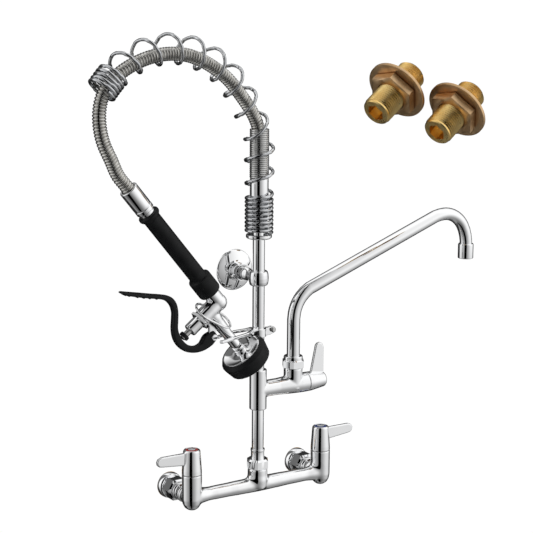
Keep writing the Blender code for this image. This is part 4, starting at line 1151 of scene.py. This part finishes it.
def make_valve_works():
    """Bonnet, stem with its disc and cap, and return spring, on the chamber's axis."""
    place = gun_side(ELBOW_S)
    turned("valve_bonnet", mm([
        (4.4, 50), (4.4, 53), (7.8, 53), (8.8, 51.8), (8.8, 36.6), (10.6, 36.2), (12, 35.2, 6), (12, 31.6, 6),
        (11, 30.7), (8, 30.7), (8, 21), (6.6, 21), (6.6, 50),
    ]), place)
    turned("valve_stem", mm([
        (0, 9.5), (5.4, 9.5), (5.4, 11.5), (3.2, 11.5), (3.2, 24), (5.8, 24), (5.8, 25.6), (4, 25.6), (4, 65.7),
        (3.4, 66.5), (0, 66.5),
    ]), place, STEEL)
    turned("stem_cap_ring", mm([
        (4.3, 60.2), (6.2, 60.2), (6.5, 60.8), (6.5, 64.2), (6, 64.8), (4.3, 64.8),
    ]), place, PLASTIC)
    coil = []
    turns, first, last, reach = 5, 16.4 * MM, 23.2 * MM, 5.1 * MM
    for i in range(turns * COARSE + 1):
        angle = 2 * math.pi * i / COARSE
        height = first + (last - first) * i / (turns * COARSE)
        coil.append(place @ Vector((reach * math.cos(angle), reach * math.sin(angle), height)))
    wire("stem_return_spring", coil, 0.5 * MM, STEEL, resolution=0)


def lever_section(point, along, thick, wide):
    """A rounded section across the lever, thick in its plane and wide across it."""
    normal = along.cross(GUN_ACROSS).normalized()
    ring = []
    for i in range(32):
        angle = 2 * math.pi * i / 32
        a, b = (math.copysign(abs(v) ** 0.45, v) for v in (math.cos(angle), math.sin(angle)))
        ring.append(point + normal * (a * thick / 2) + GUN_ACROSS * (b * wide / 2))
    return ring


def smooth_stations(stations, knots):
    """Catmull-Rom values between given stations."""
    table = np.array(stations, float)
    made = []
    for knot in knots:
        i = min(int(knot), len(table) - 2)
        t = knot - i
        p0, p1, p2, p3 = (table[min(max(j, 0), len(table) - 1)] for j in (i - 1, i, i + 1, i + 2))
        made.append(
            0.5 * (2 * p1 + (p2 - p0) * t + (2 * p0 - 5 * p1 + 4 * p2 - p3) * t**2
                   + (3 * p1 - p0 - 3 * p2 + p3) * t**3)
        )
    return made


def make_lever():
    """The squeeze lever: a cranked strip from its pivot round the stem to the thumb pad."""
    stations = [  # s, t, thickness, width in millimetres
        (228.6, 29.2, 11, 10.6), (228.3, 34, 14.4, 10.8), (227.9, 41.6, 17.4, 10.8), (228.3, 48, 14.5, 10.6),
        (228, 53.5, 11.4, 10), (225.4, 60.2, 9, 9.6), (221, 65.6, 8.4, 9.4), (213.4, 70.6, 9.4, 9.4),
        (204.5, 72.7, 10, 9.6), (196.5, 72.4, 9.8, 9.6), (189, 70.2, 9, 9.6), (181.3, 65.8, 8, 9.6),
        (174, 59.3, 7.7, 9.8), (165.4, 52.2, 7.4, 10.2), (156, 48, 8.2, 10.8), (146.4, 48.2, 8, 12),
        (137, 53.6, 5.6, 14), (127, 62.2, 5, 15.6), (114, 73.4, 5, 16.4), (100.3, 84.7, 4, 15.6),
        (94.6, 88.8, 3, 12.5), (92.4, 90.4, 2, 9),
    ]
    knots = np.linspace(0, len(stations) - 1, 6 * len(stations))
    even = smooth_stations(stations, knots)
    centres = [gun_point(s * MM, t * MM) for s, t, _, _ in even]
    rings = []
    for i, (_, _, thick, wide) in enumerate(even):
        along = centres[min(i + 1, len(centres) - 1)] - centres[max(i - 1, 0)]
        rings.append(lever_section(centres[i], along.normalized(), thick * MM, wide * MM))
    lever = loft("squeeze_lever", rings, Matrix(), PLASTIC)
    # Finger ridges across the pad's underside.
    ridges = []
    for step in range(6):
        i = round((0.795 + 0.026 * step) * (len(even) - 1))
        along = (centres[i + 1] - centres[i - 1]).normalized()
        inward = along.cross(GUN_ACROSS).normalized()
        if inward.dot(GUN_DOWN) < 0:
            inward = -inward
        middle = centres[i] + inward * (even[i][2] / 2 - 0.3) * MM
        across = GUN_ACROSS * (even[i][3] * 0.42 * MM)
        ridges.append(rod(f"lever_ridge_{i}_form", 1.15 * MM, middle - across, middle + across, 24))
    join(lever, *ridges)
    pivot_s, pivot_t = PIVOT_ST
    ends = (gun_point(pivot_s, pivot_t, -9 * MM), gun_point(pivot_s, pivot_t, 9 * MM))
    fork = mm([(20, 205), (42.5, 205), (42.5, 245), (20, 245)])
    cut(lever, rod("lever_pin_bore", 2.1 * MM, *ends, COARSE), slab("lever_fork_slot", fork, 5.4 * MM, GUN))
    pin = mm([
        (0, -7), (3.6, -7), (4.2, -6.4), (4.2, -5.75), (1.8, -5.75), (1.8, 5.75), (4.2, 5.75), (4.2, 6.4), (3.6, 7),
        (0, 7),
    ])
    pin_place = axes(gun_point(pivot_s, pivot_t), GUN_SIDE, GUN_DOWN * -1, GUN_ACROSS)
    turned("lever_pin", pin, pin_place, CHROME, COARSE)


def make_hold_down_ring():
    """A long wire link hung round the chamber; it flips over the lever to keep the water running."""
    middle = gun_point(209 * MM, 16.2 * MM)
    along = (GUN_DOWN * 0.921 - GUN_SIDE * 0.39).normalized()
    across = GUN_ACROSS * math.cos(RING_TILT) - along.cross(GUN_ACROSS) * math.sin(RING_TILT)
    half_long, half_wide = 27.6 * MM, 15.2 * MM
    path = []
    for end in (1, -1):
        for i in range(9):
            angle = math.pi * (i / 8 - 0.5)
            x = end * (half_long - half_wide + half_wide * math.cos(angle))
            y = end * half_wide * math.sin(angle)
            path.append(middle + along * x + across * y)
    wire("hold_down_ring", path, 1.5 * MM, CHROME, cyclic=True)


HEAD_SIDES = 24


def make_spray_head():
    place = gun_axis(HEAD_S, NECK_T)
    turned("spray_bell", mm([
        (4.4, 0), (7.6, 0), (8.2, 1.2), (8.2, 4.4), (13, 5.6), (21, 5), (26, 3.2), (27.6, 3.4), (27.6, 5.8),
        (25.6, 6.6), (20.4, 7.6), (13, 8.2), (9.4, 7.6), (8.8, 17), (4.6, 17),
    ]), place, CHROME, HEAD_SIDES)
    turned("spray_face", mm([
        (2.4, 17.4), (20, 17.4), (23.8, 15.4), (24.4, 17.6), (20.6, 20.4), (2.4, 20.4),
    ]), place, CHROME, HEAD_SIDES)
    turned("bumper_ring", mm([
        (28, 3.4), (29, 3.2), (32.7, 8.8), (32.2, 14), (29.8, 25.6), (28.4, 26.6), (26.8, 26.2), (24.8, 24),
        (24.8, 7.4), (28, 6.4),
    ]), place, RUBBER, HEAD_SIDES)
    turned("face_screw", mm([
        (0, 10), (2.1, 10), (2.1, 20.8), (4.6, 20.8), (4.6, 22.2), (3.4, 23.2), (0, 23.2),
    ]), place, STEEL, COARSE)


make_barrel()
make_valve_body()
make_valve_works()
make_lever()
make_hold_down_ring()
make_spray_head()


# ------------------------------------------------------------------ finishing every piece
# Castings and mouldings: the grid that evens out their joins, and how often they are smoothed.
CAST = {
    "base_body": (0.6, 14), "add_on_body": (0.5, 10), "spray_valve_body": (0.45, 9), "bracket_clamp": (0.5, 9),
    "spray_hook": (0.32, 6), "squeeze_lever": (0.45, 7), "hot_handle": (0.42, 8), "cold_handle": (0.42, 8),
    "add_on_handle": (0.42, 8),
}
FILLETS = {  # centres of the joins, how far the softening reaches, rounds
    "base_body": ([(x * MM, RISER_Y, z * MM) for x, z in ((-15, 4), (15, 4), (-86, 2), (86, 2))], 22 * MM, 150),
    "add_on_body": ([(13 * MM, RISER_Y, ARM_Z), (SPOUT_X, RISER_Y, ARM_Z + 12 * MM)], 18 * MM, 60),
    "spray_valve_body": ([gun_point(ELBOW_S, 6 * MM), gun_point(ELBOW_S + 10 * MM, NECK_T)], 16 * MM, 40),
    "bracket_clamp": ([(0, RISER_Y + 12 * MM, BRACKET_Z)], 14 * MM, 50),
}


def soften_near(mesh, places, reach, rounds):
    """Fills the creases of a casting round some places by local smoothing."""
    count = len(mesh.vertices)
    points = np.empty(count * 3)
    mesh.vertices.foreach_get("co", points)
    points = points.reshape(-1, 3)
    ends = np.empty(len(mesh.edges) * 2, int)
    mesh.edges.foreach_get("vertices", ends)
    one, two = ends.reshape(-1, 2).T
    degree = np.bincount(one, minlength=count) + np.bincount(two, minlength=count)
    share = np.zeros(count)
    for place in places:
        away = np.linalg.norm(points - np.array(place), axis=1) / reach
        share = np.maximum(share, np.clip(1.6 - 1.6 * away, 0, 1))
    for _ in range(rounds):
        mean = np.stack(
            [np.bincount(one, points[two, k], count) + np.bincount(two, points[one, k], count) for k in range(3)], 1
        ) / degree[:, None]
        points += (mean - points) * (0.5 * share)[:, None]
    mesh.vertices.foreach_set("co", points.ravel())
    mesh.update()


def prepare(node, skin):
    """A casting's joins are evened out on a fine grid and softened."""
    if node in CAST:
        grid, rounds = CAST[node]
        even = skin.modifiers.new("even", "REMESH")
        even.mode = "VOXEL"
        even.voxel_size = grid * MM
        even.use_smooth_shade = True
        soften = skin.modifiers.new("soften", "SMOOTH")
        soften.factor = 0.5
        soften.iterations = rounds


def settle():
    """Turns every skin with its modifiers into one plain mesh in the frame's own coordinates."""
    for node, skin in SKINS.items():
        prepare(node, skin)
    bpy.context.view_layer.update()
    graph = bpy.context.evaluated_depsgraph_get()
    made = {}
    for node, skin in SKINS.items():
        mesh = bpy.data.meshes.new_from_object(skin.evaluated_get(graph), depsgraph=graph)
        mesh.transform(skin.matrix_world)
        if node in FILLETS:
            soften_near(mesh, *FILLETS[node])
        if "button" not in node:
            mesh.materials.clear()
            mesh.materials.append(skin.data.materials[0])
            for face in mesh.polygons:
                face.material_index = 0
        mesh.shade_smooth()
        if node not in CAST:
            mesh.set_sharp_from_angle(angle=CREASE)
        made[node] = mesh
    for used in list(SKINS.values()) + HELPERS:
        bpy.data.objects.remove(used, do_unlink=True)
    for node, mesh in made.items():
        SKINS[node] = bpy.data.objects.new(node + "_skin", mesh)
        mesh.name = node + "_skin"
        bpy.context.scene.collection.objects.link(SKINS[node])


settle()
for node_name, piece in SKINS.items():
    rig.ride(piece, BODY_OF[node_name])
    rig.replaces(piece, node_name)
    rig.slot(piece, SLOT_OF[node_name])
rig.squash(SKINS["stem_return_spring"], "stem_press", GUN_SIDE, gun_point(ELBOW_S, 15.9 * MM), keep=0.5)
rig.cord(
    SKINS["spray_hose"], exit=HOSE_PATH[0], length=HOSE_LENGTH, diameter=2 * HOSE_R, far_end="object",
    stiffness="medium", lay="hanging", path=[tuple(p) for p in HOSE_PATH[::10]] + [tuple(HOSE_PATH[-1])],
)


LOOSE_SCALE = 1.9


def make_loose_fittings():
    """Staged copies of both inlet nipples, with their washers and lock nuts slid along a little.

    They are what comes in the bag, laid out beside the faucet. The real ones are behind the wall.
    """
    level = Vector((0, 0, 1)).cross(CAMERA_BACK).normalized()
    across = (level * -0.667 - CAMERA_BACK.cross(level) * 0.745).normalized()
    forward = (across * 0.866 + CAMERA_BACK * 0.5).normalized()
    lifted = (CAMERA_BACK - forward * forward.dot(CAMERA_BACK)).normalized()
    turn = Matrix((forward.cross(lifted), forward, lifted)).transposed().to_4x4()
    foot = Vector((-HALF, 3.5 * MM, 0))
    for i, place in enumerate(((0.1763, -0.1186, 0.5265), (0.2403, -0.1654, 0.5022))):
        for node, slid in (("hot_inlet_nipple", 0), ("hot_inlet_washer", -5.7), ("hot_lock_nut", -5.7)):
            copy = bpy.data.objects.new(f"loose_{node}_{i}", SKINS[node].data.copy())
            shift = Matrix.Translation(Vector((0, slid * MM, 0)) - foot)
            copy.matrix_world = Matrix.Translation(place) @ turn @ Matrix.Scale(LOOSE_SCALE, 4) @ shift
            bpy.context.scene.collection.objects.link(copy)
            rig.stage(copy)


make_loose_fittings()
with open("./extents.json", "w") as size_file:
    json.dump({"cad": [list(c) for c in CAD_BOX], "visual": [list(c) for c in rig.bounds()]}, size_file)
